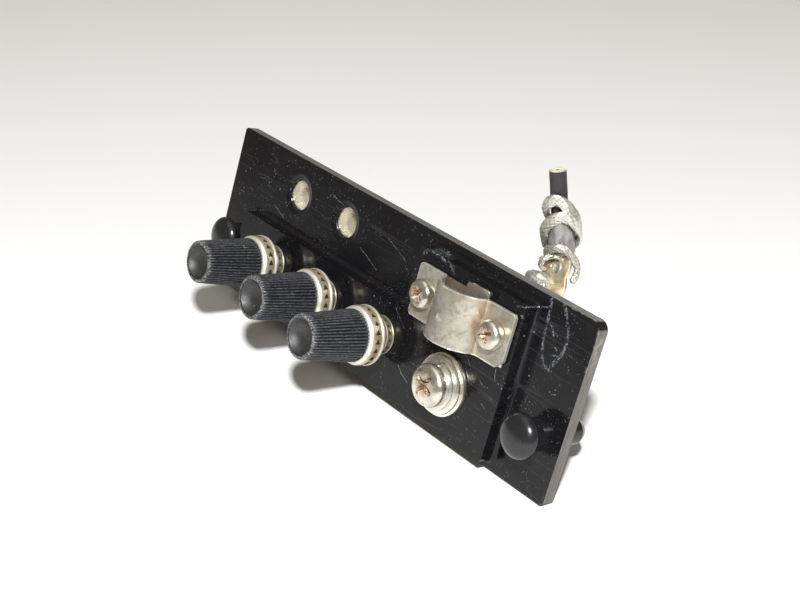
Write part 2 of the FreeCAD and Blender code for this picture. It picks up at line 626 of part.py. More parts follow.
jacket_len = total - jacket_at
jacket = stub_piece("Part::Cylinder", "@stub_rad", "%g" % jacket_len, jacket_at)
j_bore = stub_piece("Part::Cylinder", "@core_wire_rad", "%g" % (jacket_len + 2), jacket_at - 1)
node(cut(jacket, j_bore), "coax_jacket")
core = stub_piece("Part::Cylinder", "@core_wire_rad", "%g" % (total - 0.3), 0.0)
doc.recompute()
f4 = doc.addObject("Part::Feature", "CoaxCore")
f4.Shape = core.Shape.fuse(rod_between(along(0.4), blob_mid, 0.45)).removeSplitter()
f4.Placement = FreeCAD.Placement()
node(f4, "coax_core")
sleeve = stub_piece("Part::Cylinder", "@sleeve_rad", "@sleeve_len", sleeve_at)
s_bore1 = stub_piece("Part::Cylinder", "@core_wire_rad", "@sleeve_len + 2", sleeve_at - 1)
s_bore2 = stub_piece("Part::Cylinder", "@stub_rad", "@sleeve_len + 2", jacket_at)
node(cut(sleeve, s_bore1, s_bore2), "coax_sleeve")

# solder joint: a rounded lump holding the bared wire to the lug's edge
lump = doc.addObject("Part::Ellipsoid", "SolderLump")
lump.Radius1 = 2.6
lump.Radius2 = 3.3
lump.Radius3 = 2.2
lump.Placement = FreeCAD.Placement(blob_mid, FreeCAD.Rotation(V(0, 0, 1), 12))
doc.recompute()
f2 = doc.addObject("Part::Feature", "SolderJoint")
f2.Shape = lump.Shape.cut(f4.Shape).cut(lug_shape)
f2.Placement = FreeCAD.Placement()
node(f2, "solder_joint")

# braid pigtail: the shield drawn out and wound round the stub, as plain rings,
# with the last strand running down beside the lug
rings = []
braid_turns = [(9.6, 2.05, 0.62, 10.0), (5.9, 3.15, 0.75, -12.0), (1.2, 2.75, 0.6, 6.0)]
for dist, big, small, tilt in braid_turns:
    tor = doc.addObject("Part::Torus", uname("Torus"))
    tor.Radius1 = big
    tor.Radius2 = small
    tor.Placement = FreeCAD.Placement(along(dist), rot.multiply(FreeCAD.Rotation(V(0, 1, 0), tilt)))
    rings.append(tor)
doc.recompute()
strand = rod_between(along(1.2) + V(2.6, 0.6, 0), V(35.8, 7.6, 16.3), 0.5)
links = []
for (d0, r0, s0, t0), (d1, r1, s1, t1) in zip(braid_turns[:-1], braid_turns[1:]):
    links.append(rod_between(along(d0) + V(r0, 0, 0), along(d1) + V(r1 + 0.1, 0, 0), 0.5))
braid = rings[0].Shape.fuse([r.Shape for r in rings[1:]] + links + [strand])
f3 = doc.addObject("Part::Feature", "BraidPigtail")
f3.Shape = (braid.cut(jacket.Shape).cut(f4.Shape).cut(sleeve.Shape).cut(lug_shape)
            .cut(f2.Shape))
f3.Placement = FreeCAD.Placement()
node(f3, "braid_pigtail")

# ---------------------------------------------------------------- checks and export
doc.recompute()
bad = []
for o in doc.Objects:
    if "Invalid" in o.State or "Error" in o.State:
        bad.append("%s %s %s" % (o.Name, o.Label, o.State))
for label, o in nodes.items():
    if o.Shape.isNull() or not o.Shape.isValid():
        bad.append("bad shape " + label)
    elif not o.Shape.Solids:
        bad.append("no solid " + label)
if bad:
    raise RuntimeError("; ".join(bad))

os.makedirs("parts", exist_ok=True)
for label, o in nodes.items():
    o.Shape.exportStep("parts/%s.step" % label)
print(len(nodes), "nodes")
for label, o in nodes.items():
    print("%-24s solids %d volume %.2f box %s" % (label, len(o.Shape.Solids), o.Shape.Volume,
          [round(v, 2) for v in (o.Shape.BoundBox.XMin, o.Shape.BoundBox.XMax,
                                 o.Shape.BoundBox.YMin, o.Shape.BoundBox.YMax,
                                 o.Shape.BoundBox.ZMin, o.Shape.BoundBox.ZMax)]))
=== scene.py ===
import bpy, bmesh, math
from mathutils import Vector, Matrix, noise


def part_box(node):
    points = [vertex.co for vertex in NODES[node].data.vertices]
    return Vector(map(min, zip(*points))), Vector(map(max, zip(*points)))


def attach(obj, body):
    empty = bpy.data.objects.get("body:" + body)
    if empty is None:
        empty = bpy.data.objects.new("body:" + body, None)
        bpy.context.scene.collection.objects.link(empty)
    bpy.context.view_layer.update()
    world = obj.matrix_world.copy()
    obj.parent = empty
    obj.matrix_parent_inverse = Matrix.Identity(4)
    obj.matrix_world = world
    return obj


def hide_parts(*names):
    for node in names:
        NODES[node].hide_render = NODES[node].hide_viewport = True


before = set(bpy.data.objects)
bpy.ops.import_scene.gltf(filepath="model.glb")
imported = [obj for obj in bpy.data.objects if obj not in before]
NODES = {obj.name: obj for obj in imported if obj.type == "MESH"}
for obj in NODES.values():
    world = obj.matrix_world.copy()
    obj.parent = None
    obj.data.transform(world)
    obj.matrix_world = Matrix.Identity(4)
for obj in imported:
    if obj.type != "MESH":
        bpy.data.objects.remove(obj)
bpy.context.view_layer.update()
MM = 0.001
PI = math.pi
TAU = 2 * math.pi


# ------------------------------------------------------------------ node graph helper
class G:
    def __init__(self, name):
        self.mat = bpy.data.materials.new(name)
        self.mat.use_nodes = True
        self.nt = self.mat.node_tree
        self.nt.nodes.clear()
        self.out = self.nt.nodes.new("ShaderNodeOutputMaterial")
        self.b = self.nt.nodes.new("ShaderNodeBsdfPrincipled")
        self.nt.links.new(self.b.outputs[0], self.out.inputs["Surface"])
        self._co = None

    def put(self, sock, val):
        if isinstance(val, bpy.types.NodeSocket):
            self.nt.links.new(val, sock)
        else:
            if isinstance(val, (tuple, list)) and len(val) == 3 and sock.type == "RGBA":
                val = (*val, 1.0)
            sock.default_value = val

    def set(self, **kw):
        names = {"color": "Base Color", "rough": "Roughness", "metal": "Metallic", "ior": "IOR",
                 "spec": "Specular IOR Level", "coat": "Coat Weight", "coat_rough": "Coat Roughness",
                 "normal": "Normal", "sheen": "Sheen Weight", "trans": "Transmission Weight",
                 "aniso": "Anisotropic"}
        for k, v in kw.items():
            self.put(self.b.inputs[names[k]], v)
        return self

    def co(self):
        if self._co is None:
            self._co = self.nt.nodes.new("ShaderNodeTexCoord").outputs["Object"]
        return self._co

    def mapping(self, scale=(1, 1, 1), rot=(0, 0, 0), loc=(0, 0, 0), vec=None):
        n = self.nt.nodes.new("ShaderNodeMapping")
        self.put(n.inputs["Vector"], vec or self.co())
        n.inputs["Scale"].default_value = scale
        n.inputs["Rotation"].default_value = rot
        n.inputs["Location"].default_value = loc
        return n.outputs[0]

    def noise(self, scale, detail=3.0, rough=0.5, dist=0.0, vec=None):
        n = self.nt.nodes.new("ShaderNodeTexNoise")
        self.put(n.inputs["Vector"], vec or self.co())
        n.inputs["Scale"].default_value = scale
        n.inputs["Detail"].default_value = detail
        n.inputs["Roughness"].default_value = rough
        n.inputs["Distortion"].default_value = dist
        return n.outputs["Fac"]

    def noise_col(self, scale, detail=2.0, vec=None):
        n = self.nt.nodes.new("ShaderNodeTexNoise")
        self.put(n.inputs["Vector"], vec or self.co())
        n.inputs["Scale"].default_value = scale
        n.inputs["Detail"].default_value = detail
        return n.outputs["Color"]

    def vor(self, scale, feature="F1", vec=None, rand=1.0):
        n = self.nt.nodes.new("ShaderNodeTexVoronoi")
        n.feature = feature
        self.put(n.inputs["Vector"], vec or self.co())
        n.inputs["Scale"].default_value = scale
        n.inputs["Randomness"].default_value = rand
        return n.outputs["Distance"]

    def m(self, op, a, b=0.0, c=0.0, clamp=False):
        n = self.nt.nodes.new("ShaderNodeMath")
        n.operation = op
        n.use_clamp = clamp
        self.put(n.inputs[0], a)
        self.put(n.inputs[1], b)
        if len(n.inputs) > 2:
            self.put(n.inputs[2], c)
        return n.outputs[0]

    def mr(self, v, a, b, c=0.0, d=1.0):
        n = self.nt.nodes.new("ShaderNodeMapRange")
        n.clamp = True
        self.put(n.inputs["Value"], v)
        for k, x in (("From Min", a), ("From Max", b), ("To Min", c), ("To Max", d)):
            n.inputs[k].default_value = x
        return n.outputs["Result"]

    def mix(self, f, a, b):
        n = self.nt.nodes.new("ShaderNodeMix")
        n.data_type = "RGBA"
        self.put(n.inputs["Factor"], f)
        self.put(n.inputs["A"] if "A" in n.inputs and n.inputs["A"].type == "RGBA" else n.inputs[6], a)
        self.put(n.inputs[7], b)
        return n.outputs[2]

    def ramp(self, f, stops):
        n = self.nt.nodes.new("ShaderNodeValToRGB")
        self.put(n.inputs[0], f)
        e = n.color_ramp.elements
        while len(e) < len(stops):
            e.new(0.5)
        for k, (p, col) in enumerate(stops):
            e[k].position = p
            e[k].color = (*col, 1.0)
        return n.outputs["Color"]

    def bump(self, h, strength=0.5, dist=0.0001, normal=None):
        n = self.nt.nodes.new("ShaderNodeBump")
        self.put(n.inputs["Height"], h)
        n.inputs["Strength"].default_value = strength
        n.inputs["Distance"].default_value = dist
        if normal is not None:
            self.put(n.inputs["Normal"], normal)
        return n.outputs[0]

    def attr(self, name):
        n = self.nt.nodes.new("ShaderNodeAttribute")
        n.attribute_name = name
        return n.outputs["Fac"]

    def xyz(self, vec=None):
        n = self.nt.nodes.new("ShaderNodeSeparateXYZ")
        self.put(n.inputs[0], vec or self.co())
        return n.outputs

    def normal_xyz(self):
        n = self.nt.nodes.new("ShaderNodeNewGeometry")
        return self.xyz(n.outputs["Normal"])

    def add_vec(self, a, b, s):
        k = self.nt.nodes.new("ShaderNodeVectorMath")
        k.operation = "MULTIPLY_ADD"
        self.put(k.inputs[0], a)
        k.inputs[1].default_value = (s, s, s)
        self.put(k.inputs[2], b)
        return k.outputs[0]

    def segment(self, x, z, a, b, w):
        # 1 on the line from a to b in the board's plane, 0 beyond w from it (metres)
        ax, az = a[0] * MM, a[1] * MM
        dx, dz = b[0] * MM - ax, b[1] * MM - az
        ll = dx * dx + dz * dz
        px = self.m("SUBTRACT", x, ax)
        pz = self.m("SUBTRACT", z, az)
        t = self.m("ADD", self.m("MULTIPLY", px, dx / ll), self.m("MULTIPLY", pz, dz / ll))
        t = self.m("MINIMUM", self.m("MAXIMUM", t, 0.0), 1.0)
        ex = self.m("SUBTRACT", px, self.m("MULTIPLY", t, dx))
        ez = self.m("SUBTRACT", pz, self.m("MULTIPLY", t, dz))
        d = self.m("SQRT", self.m("ADD", self.m("MULTIPLY", ex, ex), self.m("MULTIPLY", ez, ez)))
        return self.mr(d, 0.0, w * MM, 1.0, 0.0)

    def path(self, x, z, pts, w):
        f = None
        for a, b in zip(pts[:-1], pts[1:]):
            s = self.segment(x, z, a, b, w)
            f = s if f is None else self.m("MAXIMUM", f, s)
        return f


# ------------------------------------------------------------------ materials
def dust(g, scale=900.0, size=0.16, amount=0.5, patch=60.0):
    # small pale specks, thicker in patches
    d = g.vor(scale)
    dots = g.mr(d, size * 0.6, size, 1.0, 0.0)
    where = g.mr(g.noise(patch, 4.0, 0.6), 0.42, 0.72, 0.0, amount)
    keep = g.mr(g.noise(scale * 0.45, 1.0), 0.52, 0.6, 0.0, 1.0)
    return g.m("MULTIPLY", g.m("MULTIPLY", dots, where), keep)


def hairlines(g, rot, scale, width=0.012, amount=0.6, loc=(0, 0, 0)):
    # long fine scratches in one direction
    v = g.mapping(scale=(scale * 0.05, scale, scale), rot=rot, loc=loc)
    n = g.noise(1.0, 1.0, 0.3, 0.4, vec=v)
    line = g.mr(g.m("ABSOLUTE", g.m("SUBTRACT", n, 0.5)), 0.0, width, 1.0, 0.0)
    gate = g.mr(g.noise(55.0, 3.0, 0.5, vec=g.mapping(loc=(loc[0] + 3.1, 1.7, 0.3))), 0.52, 0.62, 0.0, amount)
    return g.m("MULTIPLY", line, gate)


def board_material():
    g = G("black_board_detailed")
    co = g.co()
    warped = g.add_vec(g.noise_col(700.0, 4.0), co, 0.0007)
    warped = g.mapping(loc=(-0.00035, -0.00035, -0.00035), vec=warped)
    wx = g.xyz(warped)
    x, z = wx[0], wx[2]
    nx = g.normal_xyz()
    px = g.xyz()
    base = g.mix(g.noise(35.0, 4.0), (0.0040, 0.0038, 0.0046), (0.0075, 0.0072, 0.0085))
    # cloudy haze of handling
    haze = g.mr(g.noise(70.0, 5.0, 0.65, 0.6), 0.5, 0.8, 0.0, 0.3)
    base = g.mix(haze, base, (0.022, 0.022, 0.024))
    # dried glue track on the right margin
    sm = g.path(x, z, [(41.3, 16.4), (41.5, 13.7), (42.0, 9.3), (42.7, 6.6), (43.6, 5.4), (45.0, 5.0),
                       (46.4, 8.2), (46.9, 9.8), (46.8, 12.2), (45.8, 14.3), (44.2, 16.4)], 0.44)
    sm2 = g.path(x, z, [(42.6, 12.4), (43.9, 10.8)], 0.3)
    sm3 = g.path(x, z, [(36.8, 13.05), (40.8, 14.7)], 0.22)
    sm4 = g.path(x, z, [(44.6, 7.6), (46.9, 8.3)], 0.25)
    spots = g.mr(g.noise(1500.0, 6.0, 0.85, 1.4), 0.50, 0.60, 0.0, 1.0)
    track = g.m("MAXIMUM", g.m("MAXIMUM", sm, sm2), g.m("MAXIMUM", sm3, sm4))
    track = g.m("MULTIPLY", g.mr(track, 0.05, 0.75), spots)
    # scuffs along the top edge of the raised field
    sc = g.path(x, z, [(12.3, 13.4), (13.7, 14.4), (15.5, 14.3), (18.0, 13.9), (20.2, 13.4), (20.6, 12.5)], 0.5)
    sc = g.m("MULTIPLY", g.mr(sc, 0.0, 0.8), g.mr(g.noise(1600.0, 5.0, 0.8, 1.0), 0.5, 0.66))
    marks = [g.path(x, z, pts, w) for pts, w in (
        ([(16.9, 0.9), (19.2, -1.2)], 0.12), ([(17.6, -0.2), (20.2, 0.6)], 0.1),
        ([(33.4, -1.9), (35.0, -2.9)], 0.1), ([(35.5, -5.6), (36.6, -6.2)], 0.12),
        ([(28.5, 0.9), (30.6, -0.6)], 0.09), ([(36.1, 3.2), (36.9, -0.8)], 0.12),
        ([(-20.0, 13.0), (-16.0, 12.2)], 0.12), ([(-8.0, 6.4), (-2.0, 4.2)], 0.12),
        ([(-1.0, 11.0), (5.0, 8.8)], 0.1), ([(-37.0, 4.6), (-33.0, 3.2)], 0.12),
        ([(9.0, 1.0), (12.5, -1.5)], 0.12), ([(13.5, -8.6), (17.0, -10.5)], 0.12))]
    mk = marks[0]
    for s in marks[1:]:
        mk = g.m("MAXIMUM", mk, s)
    mk = g.m("MULTIPLY", g.mr(mk, 0.1, 0.7), g.mr(g.noise(1200.0, 3.0), 0.4, 0.6, 0.15, 0.8))
    hl = g.m("MAXIMUM", hairlines(g, (0, 0.5, 0), 260.0), hairlines(g, (0, -0.9, 0), 210.0, loc=(0.4, 0, 0.7)))
    hl = g.m("MAXIMUM", hl, hairlines(g, (0, 1.35, 0), 300.0, loc=(0.1, 0, 1.7)))
    hl = g.m("MULTIPLY", hl, 0.3)
    ds = g.m("MAXIMUM", dust(g, 1150.0, 0.22, 1.0, 75.0), dust(g, 2600.0, 0.26, 0.9, 130.0))
    col = g.mix(g.m("MULTIPLY", ds, 0.8), base, (0.24, 0.24, 0.235))
    col = g.mix(g.m("MULTIPLY", hl, 0.5), col, (0.16, 0.16, 0.165))
    col = g.mix(g.m("MULTIPLY", mk, 0.55), col, (0.30, 0.31, 0.33))
    col = g.mix(g.m("MULTIPLY", sc, 0.75), col, (0.36, 0.38, 0.40))
    col = g.mix(g.m("MULTIPLY", track, 0.62), col, (0.36, 0.43, 0.48))
    # the sawn outer edges are matt and pale
    rim_x = g.mr(g.m("ABSOLUTE", px[0]), 52.30 * MM, 52.42 * MM)
    rim_z = g.mr(g.m("ABSOLUTE", px[2]), 16.52 * MM, 16.63 * MM)
    flat = g.mr(g.m("ABSOLUTE", nx[1]), 0.6, 0.3)
    rim = g.m("MULTIPLY", g.m("MAXIMUM", rim_x, rim_z), flat)
    streak = g.noise(1.0, 3.0, 0.6, vec=g.mapping(scale=(260.0, 2600.0, 260.0)))
    rimcol = g.mix(g.mr(streak, 0.3, 0.7), (0.085, 0.080, 0.074), (0.17, 0.163, 0.152))
    col = g.mix(rim, col, rimcol)
    # chips along the right end's upper edge
    chip = g.path(x, z, [(52.5, 16.2), (52.5, 8.0)], 0.35)
    chip2 = g.path(x, z, [(44.0, 16.7), (51.5, 16.7)], 0.28)
    chip = g.m("MULTIPLY", g.m("MAXIMUM", chip, chip2), g.mr(g.noise(900.0, 4.0, 0.7), 0.5, 0.62))
    col = g.mix(g.m("MULTIPLY", chip, 0.6), col, (0.30, 0.28, 0.25))
    rough = g.mr(g.noise(90.0, 4.0, 0.6), 0.3, 0.75, 0.10, 0.24)
    rough = g.m("ADD", rough, g.m("MULTIPLY", g.m("ADD", ds, g.m("ADD", track, rim)), 0.4), clamp=True)
    hgt = g.m("ADD", g.m("MULTIPLY", g.noise(420.0, 4.0), 0.5), g.m("MULTIPLY", track, 0.5))
    hgt = g.m("SUBTRACT", hgt, g.m("MULTIPLY", g.m("ADD", hl, mk), 0.25))
    nrm = g.bump(hgt, 0.35, 0.00004)
    nrm = g.bump(g.noise(55.0, 2.0), 0.25, 0.0004, nrm)
    g.set(color=col, rough=rough, normal=nrm, spec=0.26, ior=1.5)
    return g.mat


def cap_material():
    g = G("cap_detailed")
    base = g.mix(g.noise(300.0, 4.0), (0.009, 0.011, 0.0145), (0.022, 0.026, 0.033))
    # painted shade: where the crest mask is low (the flute valleys, also the dish and end faces) the colour is mixed
    # toward near-black
    valley_shade = g.mr(g.attr("crest"), 0.0, 0.6)
    base = g.mix(valley_shade, (0.004, 0.0045, 0.0055), base)
    crest = g.attr("crest")
    rim = g.attr("rim")
    wear = g.m("MULTIPLY", g.mr(crest, 0.55, 1.0), g.mr(g.noise(1500.0, 4.0, 0.7), 0.42, 0.66))
    col = g.mix(g.m("MULTIPLY", wear, 0.5), base, (0.16, 0.17, 0.185))
    chips = g.m("MULTIPLY", g.mr(rim, 0.2, 0.9), g.mr(g.noise(2100.0, 4.0, 0.75), 0.44, 0.6))
    col = g.mix(g.m("MULTIPLY", chips, 0.75), col, (0.26, 0.25, 0.24))
    specks = g.m("MAXIMUM", dust(g, 2400.0, 0.26, 1.0, 240.0), dust(g, 1300.0, 0.2, 1.0, 200.0))
    col = g.mix(g.m("MULTIPLY", specks, 0.7), col, (0.40, 0.39, 0.36))
    film = g.mr(g.noise(520.0, 5.0, 0.7), 0.5, 0.78, 0.0, 0.4)
    col = g.mix(g.m("MULTIPLY", film, g.mr(crest, 0.2, 0.9, 0.5, 1.0)), col, (0.075, 0.078, 0.08))
    dish = g.attr("dish")
    rough = g.m("SUBTRACT", g.mr(g.noise(800.0, 3.0), 0.3, 0.7, 0.36, 0.52), g.m("MULTIPLY", dish, -0.10))
    nrm = g.bump(g.noise(2200.0, 4.0, 0.6), 0.35, 0.00005)
    g.set(color=col, rough=rough, normal=nrm, spec=g.m("ADD", 0.45, g.m("MULTIPLY", dish, 0.55)))
    return g.mat


def rivet_material():
    g = G("rivet_detailed")
    col = g.mix(g.noise(250.0, 4.0), (0.007, 0.007, 0.008), (0.014, 0.014, 0.015))
    ds = dust(g, 2200.0, 0.2, 0.8, 200.0)
    col = g.mix(g.m("MULTIPLY", ds, 0.6), col, (0.25, 0.25, 0.24))
    lines = hairlines(g, (0.4, 0.8, 0.2), 420.0, 0.01, 0.7)
    col = g.mix(g.m("MULTIPLY", lines, 0.4), col, (0.1, 0.1, 0.1))
    rough = g.mr(g.noise(260.0, 4.0), 0.3, 0.7, 0.16, 0.30)
    nrm = g.bump(g.noise(600.0, 3.0), 0.25, 0.00006)
    g.set(color=col, rough=rough, normal=nrm, spec=0.5)
    return g.mat


def metal(name, light, dark, stain=None, rough=(0.25, 0.42), grain=1.0, stain_amt=0.6, metallic=0.92,
          stain_scale=170.0, edge=0.0, deep_shade=0.5):
    g = G(name)
    f = g.noise(230.0, 5.0, 0.62, 0.4)
    col = g.mix(g.mr(f, 0.3, 0.7), dark, light)
    fine = g.noise(2600.0, 3.0, 0.7)
    col = g.mix(g.mr(fine, 0.55, 0.75, 0.0, 0.35), col, tuple(c * 0.55 for c in dark))
    if stain is not None:
        s = g.mr(g.noise(stain_scale, 5.0, 0.68, 0.9), 0.52, 0.74, 0.0, stain_amt)
        col = g.mix(s, col, stain)
    # painted highlight: rims in the 'edge' mask are mixed toward near-white where light glints on them, partly also
    # standing for worn bright metal
    if edge:
        e = g.attr("edge")
        col = g.mix(g.m("MULTIPLY", g.mr(e, 0.3, 1.0), edge), col, (0.95, 0.93, 0.88))
    # painted shade: where the 'deep' attribute is set (the stud's thread roots) the colour is darkened toward dark
    # brown
    if deep_shade:
        d = g.attr("deep")
        col = g.mix(g.m("MULTIPLY", d, deep_shade), col, (0.05, 0.042, 0.03))
    r = g.mr(g.noise(520.0, 4.0, 0.6), 0.3, 0.72, rough[0], rough[1])
    nrm = g.bump(g.noise(1500.0, 4.0, 0.6), 0.22 * grain, 0.00005)
    nrm = g.bump(g.noise(260.0, 3.0), 0.3 * grain, 0.00012, nrm)
    g.set(color=col, rough=r, metal=metallic, normal=nrm)
    return g.mat


def screw_material():
    g = G("screw_detailed")
    near = g.attr("near")
    f = g.noise(300.0, 5.0, 0.6, 0.4)
    col = g.mix(g.mr(f, 0.3, 0.7), (0.50, 0.46, 0.38), (0.82, 0.79, 0.70))
    rust = g.mr(g.m("ADD", g.m("MULTIPLY", near, 0.8), g.noise(900.0, 5.0, 0.8, 0.8)), 0.80, 1.08)
    rcol = g.mix(g.noise(1500.0, 4.0), (0.15, 0.075, 0.035), (0.50, 0.30, 0.18))
    col = g.mix(g.m("MULTIPLY", rust, 0.85), col, rcol)
    spots = g.mr(g.noise(1100.0, 4.0, 0.7), 0.6, 0.7, 0.0, 0.5)
    col = g.mix(spots, col, (0.22, 0.17, 0.11))
    metalness = g.mr(rust, 0.0, 1.0, 0.95, 0.25)
    r = g.m("ADD", g.mr(g.noise(600.0, 4.0), 0.3, 0.7, 0.18, 0.34), g.m("MULTIPLY", rust, 0.4))
    nrm = g.bump(g.noise(1300.0, 5.0, 0.6), 0.4, 0.00007)
    g.set(color=col, rough=r, metal=metalness, normal=nrm)
    return g.mat


def rust_material():
    g = G("recess_rust")
    f = g.noise(1400.0, 5.0, 0.75, 0.7)
    col = g.ramp(f, [(0.32, (0.05, 0.03, 0.018)), (0.44, (0.19, 0.11, 0.06)), (0.53, (0.40, 0.27, 0.17)),
                     (0.60, (0.74, 0.66, 0.54))])
    g.set(color=col, rough=g.mr(f, 0.3, 0.7, 0.75, 0.4), metal=0.35,
          normal=g.bump(g.noise(2200.0, 4.0, 0.7), 0.7, 0.00012))
    return g.mat


def strap_material():
    g = G("strap_detailed")
    px = g.xyz()
    f = g.noise(210.0, 5.0, 0.62, 0.5)
    col = g.mix(g.mr(f, 0.3, 0.7), (0.33, 0.31, 0.255), (0.60, 0.57, 0.50))
    green = g.mr(g.noise(430.0, 6.0, 0.75, 0.5), 0.46, 0.64, 0.0, 0.75)
    col = g.mix(green, col, (0.23, 0.225, 0.17))
    fine = g.noise(3200.0, 3.0, 0.7)
    col = g.mix(g.mr(fine, 0.5, 0.72, 0.0, 0.45), col, (0.25, 0.23, 0.18))
    tan = g.mr(g.noise(150.0, 5.0, 0.66, 0.8), 0.5, 0.72, 0.0, 0.55)
    col = g.mix(tan, col, (0.46, 0.36, 0.20))
    # orange stain down the right bend, and by the right screw
    band = g.path(px[0], px[2], [(31.6, 11.6), (31.4, 7.6), (31.7, 3.0)], 1.1)
    band2 = g.path(px[0], px[2], [(35.4, 10.4), (37.2, 7.2)], 0.9)
    band3 = g.path(px[0], px[2], [(19.6, 11.0), (19.4, 9.6)], 1.0)
    b = g.m("MAXIMUM", g.m("MAXIMUM", band, g.m("MULTIPLY", band2, 0.55)), g.m("MULTIPLY", band3, 0.8))
    b = g.m("MULTIPLY", b, g.mr(g.noise(700.0, 5.0, 0.7), 0.3, 0.62, 0.1, 0.9))
    col = g.mix(g.m("MULTIPLY", b, 0.75), col, (0.47, 0.27, 0.12))
    # painted highlight: the 'edge' mask (rims, ends, dimple crown) is mixed toward near-white; on the rims it also
    # stands for worn bright metal, on the dimple it is highlight only
    e = g.attr("edge")
    e = g.m("MULTIPLY", g.mr(e, 0.35, 1.0), g.mr(g.noise(900.0, 3.0), 0.3, 0.55, 0.35, 1.0))
    col = g.mix(g.m("MULTIPLY", e, 0.85), col, (0.92, 0.90, 0.85))
    r = g.mr(g.noise(500.0, 4.0, 0.6), 0.3, 0.7, 0.30, 0.46)
    r = g.m("SUBTRACT", r, g.m("MULTIPLY", e, 0.1))
    nrm = g.bump(g.noise(1900.0, 4.0, 0.65), 0.35, 0.00005)
    nrm = g.bump(g.noise(190.0, 3.0), 0.35, 0.00022, nrm)
    g.set(color=col, rough=r, metal=0.72, normal=nrm)
    return g.mat


def jacket_material():
    g = G("lead_jacket_detailed")
    f = g.noise(400.0, 4.0)
    col = g.mix(f, (0.012, 0.011, 0.012), (0.028, 0.026, 0.028))
    ds = dust(g, 2600.0, 0.22, 0.9, 300.0)
    col = g.mix(g.m("MULTIPLY", ds, 0.5), col, (0.3, 0.28, 0.25))
    v = g.mapping(scale=(1600.0, 1600.0, 90.0))
    r = g.mr(g.noise(1.0, 3.0, vec=v), 0.3, 0.7, 0.34, 0.5)
    g.set(color=col, rough=r, normal=g.bump(g.noise(1.0, 3.0, vec=v), 0.25, 0.00005), spec=0.5)
    return g.mat


def core_material():
    g = G("lead_core_detailed")
    f = g.noise(900.0, 4.0)
    col = g.mix(f, (0.50, 0.41, 0.31), (0.78, 0.70, 0.58))
    g.set(color=col, rough=g.mr(f, 0.3, 0.7, 0.4, 0.6), spec=0.5,
          normal=g.bump(g.noise(2000.0, 3.0), 0.3, 0.00005))
    return g.mat


def copper_material():
    g = G("copper_wire_detailed")
    f = g.noise(1200.0, 4.0)
    col = g.mix(f, (0.36, 0.16, 0.07), (0.72, 0.38, 0.20))
    g.set(color=col, rough=g.mr(f, 0.3, 0.7, 0.3, 0.5), metal=0.9,
          normal=g.bump(g.noise(2600.0, 3.0), 0.3, 0.00003))
    return g.mat


def sleeve_material():
    g = G("sleeve_detailed")
    px = g.xyz()
    f = g.noise(260.0, 4.0, 0.6, 0.5)
    col = g.mix(g.mr(f, 0.3, 0.7), (0.13, 0.135, 0.135), (0.36, 0.36, 0.34))
    v = g.mapping(scale=(900.0, 900.0, 160.0))
    lines = g.mr(g.noise(1.0, 3.0, vec=v), 0.45, 0.7, 0.0, 0.5)
    col = g.mix(lines, col, (0.62, 0.60, 0.54))
    r = g.mr(g.noise(600.0, 4.0), 0.3, 0.7, 0.22, 0.4)
    g.set(color=col, rough=r, metal=0.75, normal=g.bump(g.noise(1.0, 3.0, vec=v), 0.35, 0.0001))
    return g.mat


def braid_material():
    g = G("braid_detailed")
    low = g.attr("deep")
    f = g.noise(420.0, 5.0, 0.6)
    col = g.mix(g.mr(f, 0.3, 0.7), (0.48, 0.46, 0.39), (0.80, 0.79, 0.73))
    # painted shade: the low points between the woven wires are darkened
    col = g.mix(g.m("MULTIPLY", g.mr(low, 0.3, 1.0), 0.75), col, (0.12, 0.11, 0.08))
    t = g.mr(g.noise(260.0, 5.0, 0.7), 0.55, 0.75, 0.0, 0.4)
    col = g.mix(t, col, (0.42, 0.38, 0.24))
    g.set(color=col, rough=g.mr(g.noise(1500.0, 3.0), 0.3, 0.7, 0.28, 0.5), metal=0.85,
          normal=g.bump(g.noise(4200.0, 3.0, 0.7), 0.5, 0.00006))
    return g.mat


def lug_material():
    g = G("brass_lug_detailed")
    f = g.noise(330.0, 5.0, 0.65, 0.4)
    col = g.mix(g.mr(f, 0.35, 0.65), (0.50, 0.37, 0.19), (0.86, 0.78, 0.58))
    tin = g.mr(g.noise(210.0, 4.0, 0.6), 0.5, 0.7, 0.0, 0.6)
    col = g.mix(tin, col, (0.78, 0.76, 0.68))
    grn = g.mr(g.noise(700.0, 5.0, 0.7, 0.6), 0.62, 0.76, 0.0, 0.55)
    col = g.mix(grn, col, (0.33, 0.36, 0.20))
    g.set(color=col, rough=g.mr(g.noise(800.0, 4.0), 0.3, 0.7, 0.28, 0.48), metal=0.85,
          normal=g.bump(g.noise(1100.0, 4.0, 0.6), 0.35, 0.00008))
    return g.mat


def solder_material():
    g = G("solder_detailed")
    f = g.noise(520.0, 5.0, 0.65, 0.6)
    col = g.ramp(f, [(0.28, (0.17, 0.17, 0.13)), (0.5, (0.42, 0.41, 0.36)), (0.66, (0.60, 0.58, 0.52)),
                     (0.8, (0.46, 0.48, 0.22))])
    g.set(color=col, rough=g.mr(f, 0.3, 0.7, 0.3, 0.55), metal=0.7,
          normal=g.bump(g.noise(1400.0, 5.0, 0.65), 0.5, 0.00012))
    return g.mat


def recess_shade_material():
    # painted shade: near-black matt faces for the punched dents in the rings and collars
    g = G("recess_painted_shade")
    f = g.noise(1500.0, 3.0)
    col = g.mix(f, (0.012, 0.009, 0.006), (0.045, 0.034, 0.022))
    g.set(color=col, rough=g.mr(f, 0.3, 0.7, 0.7, 0.9), spec=0.2, normal=g.bump(f, 0.3, 0.00005))
    return g.mat


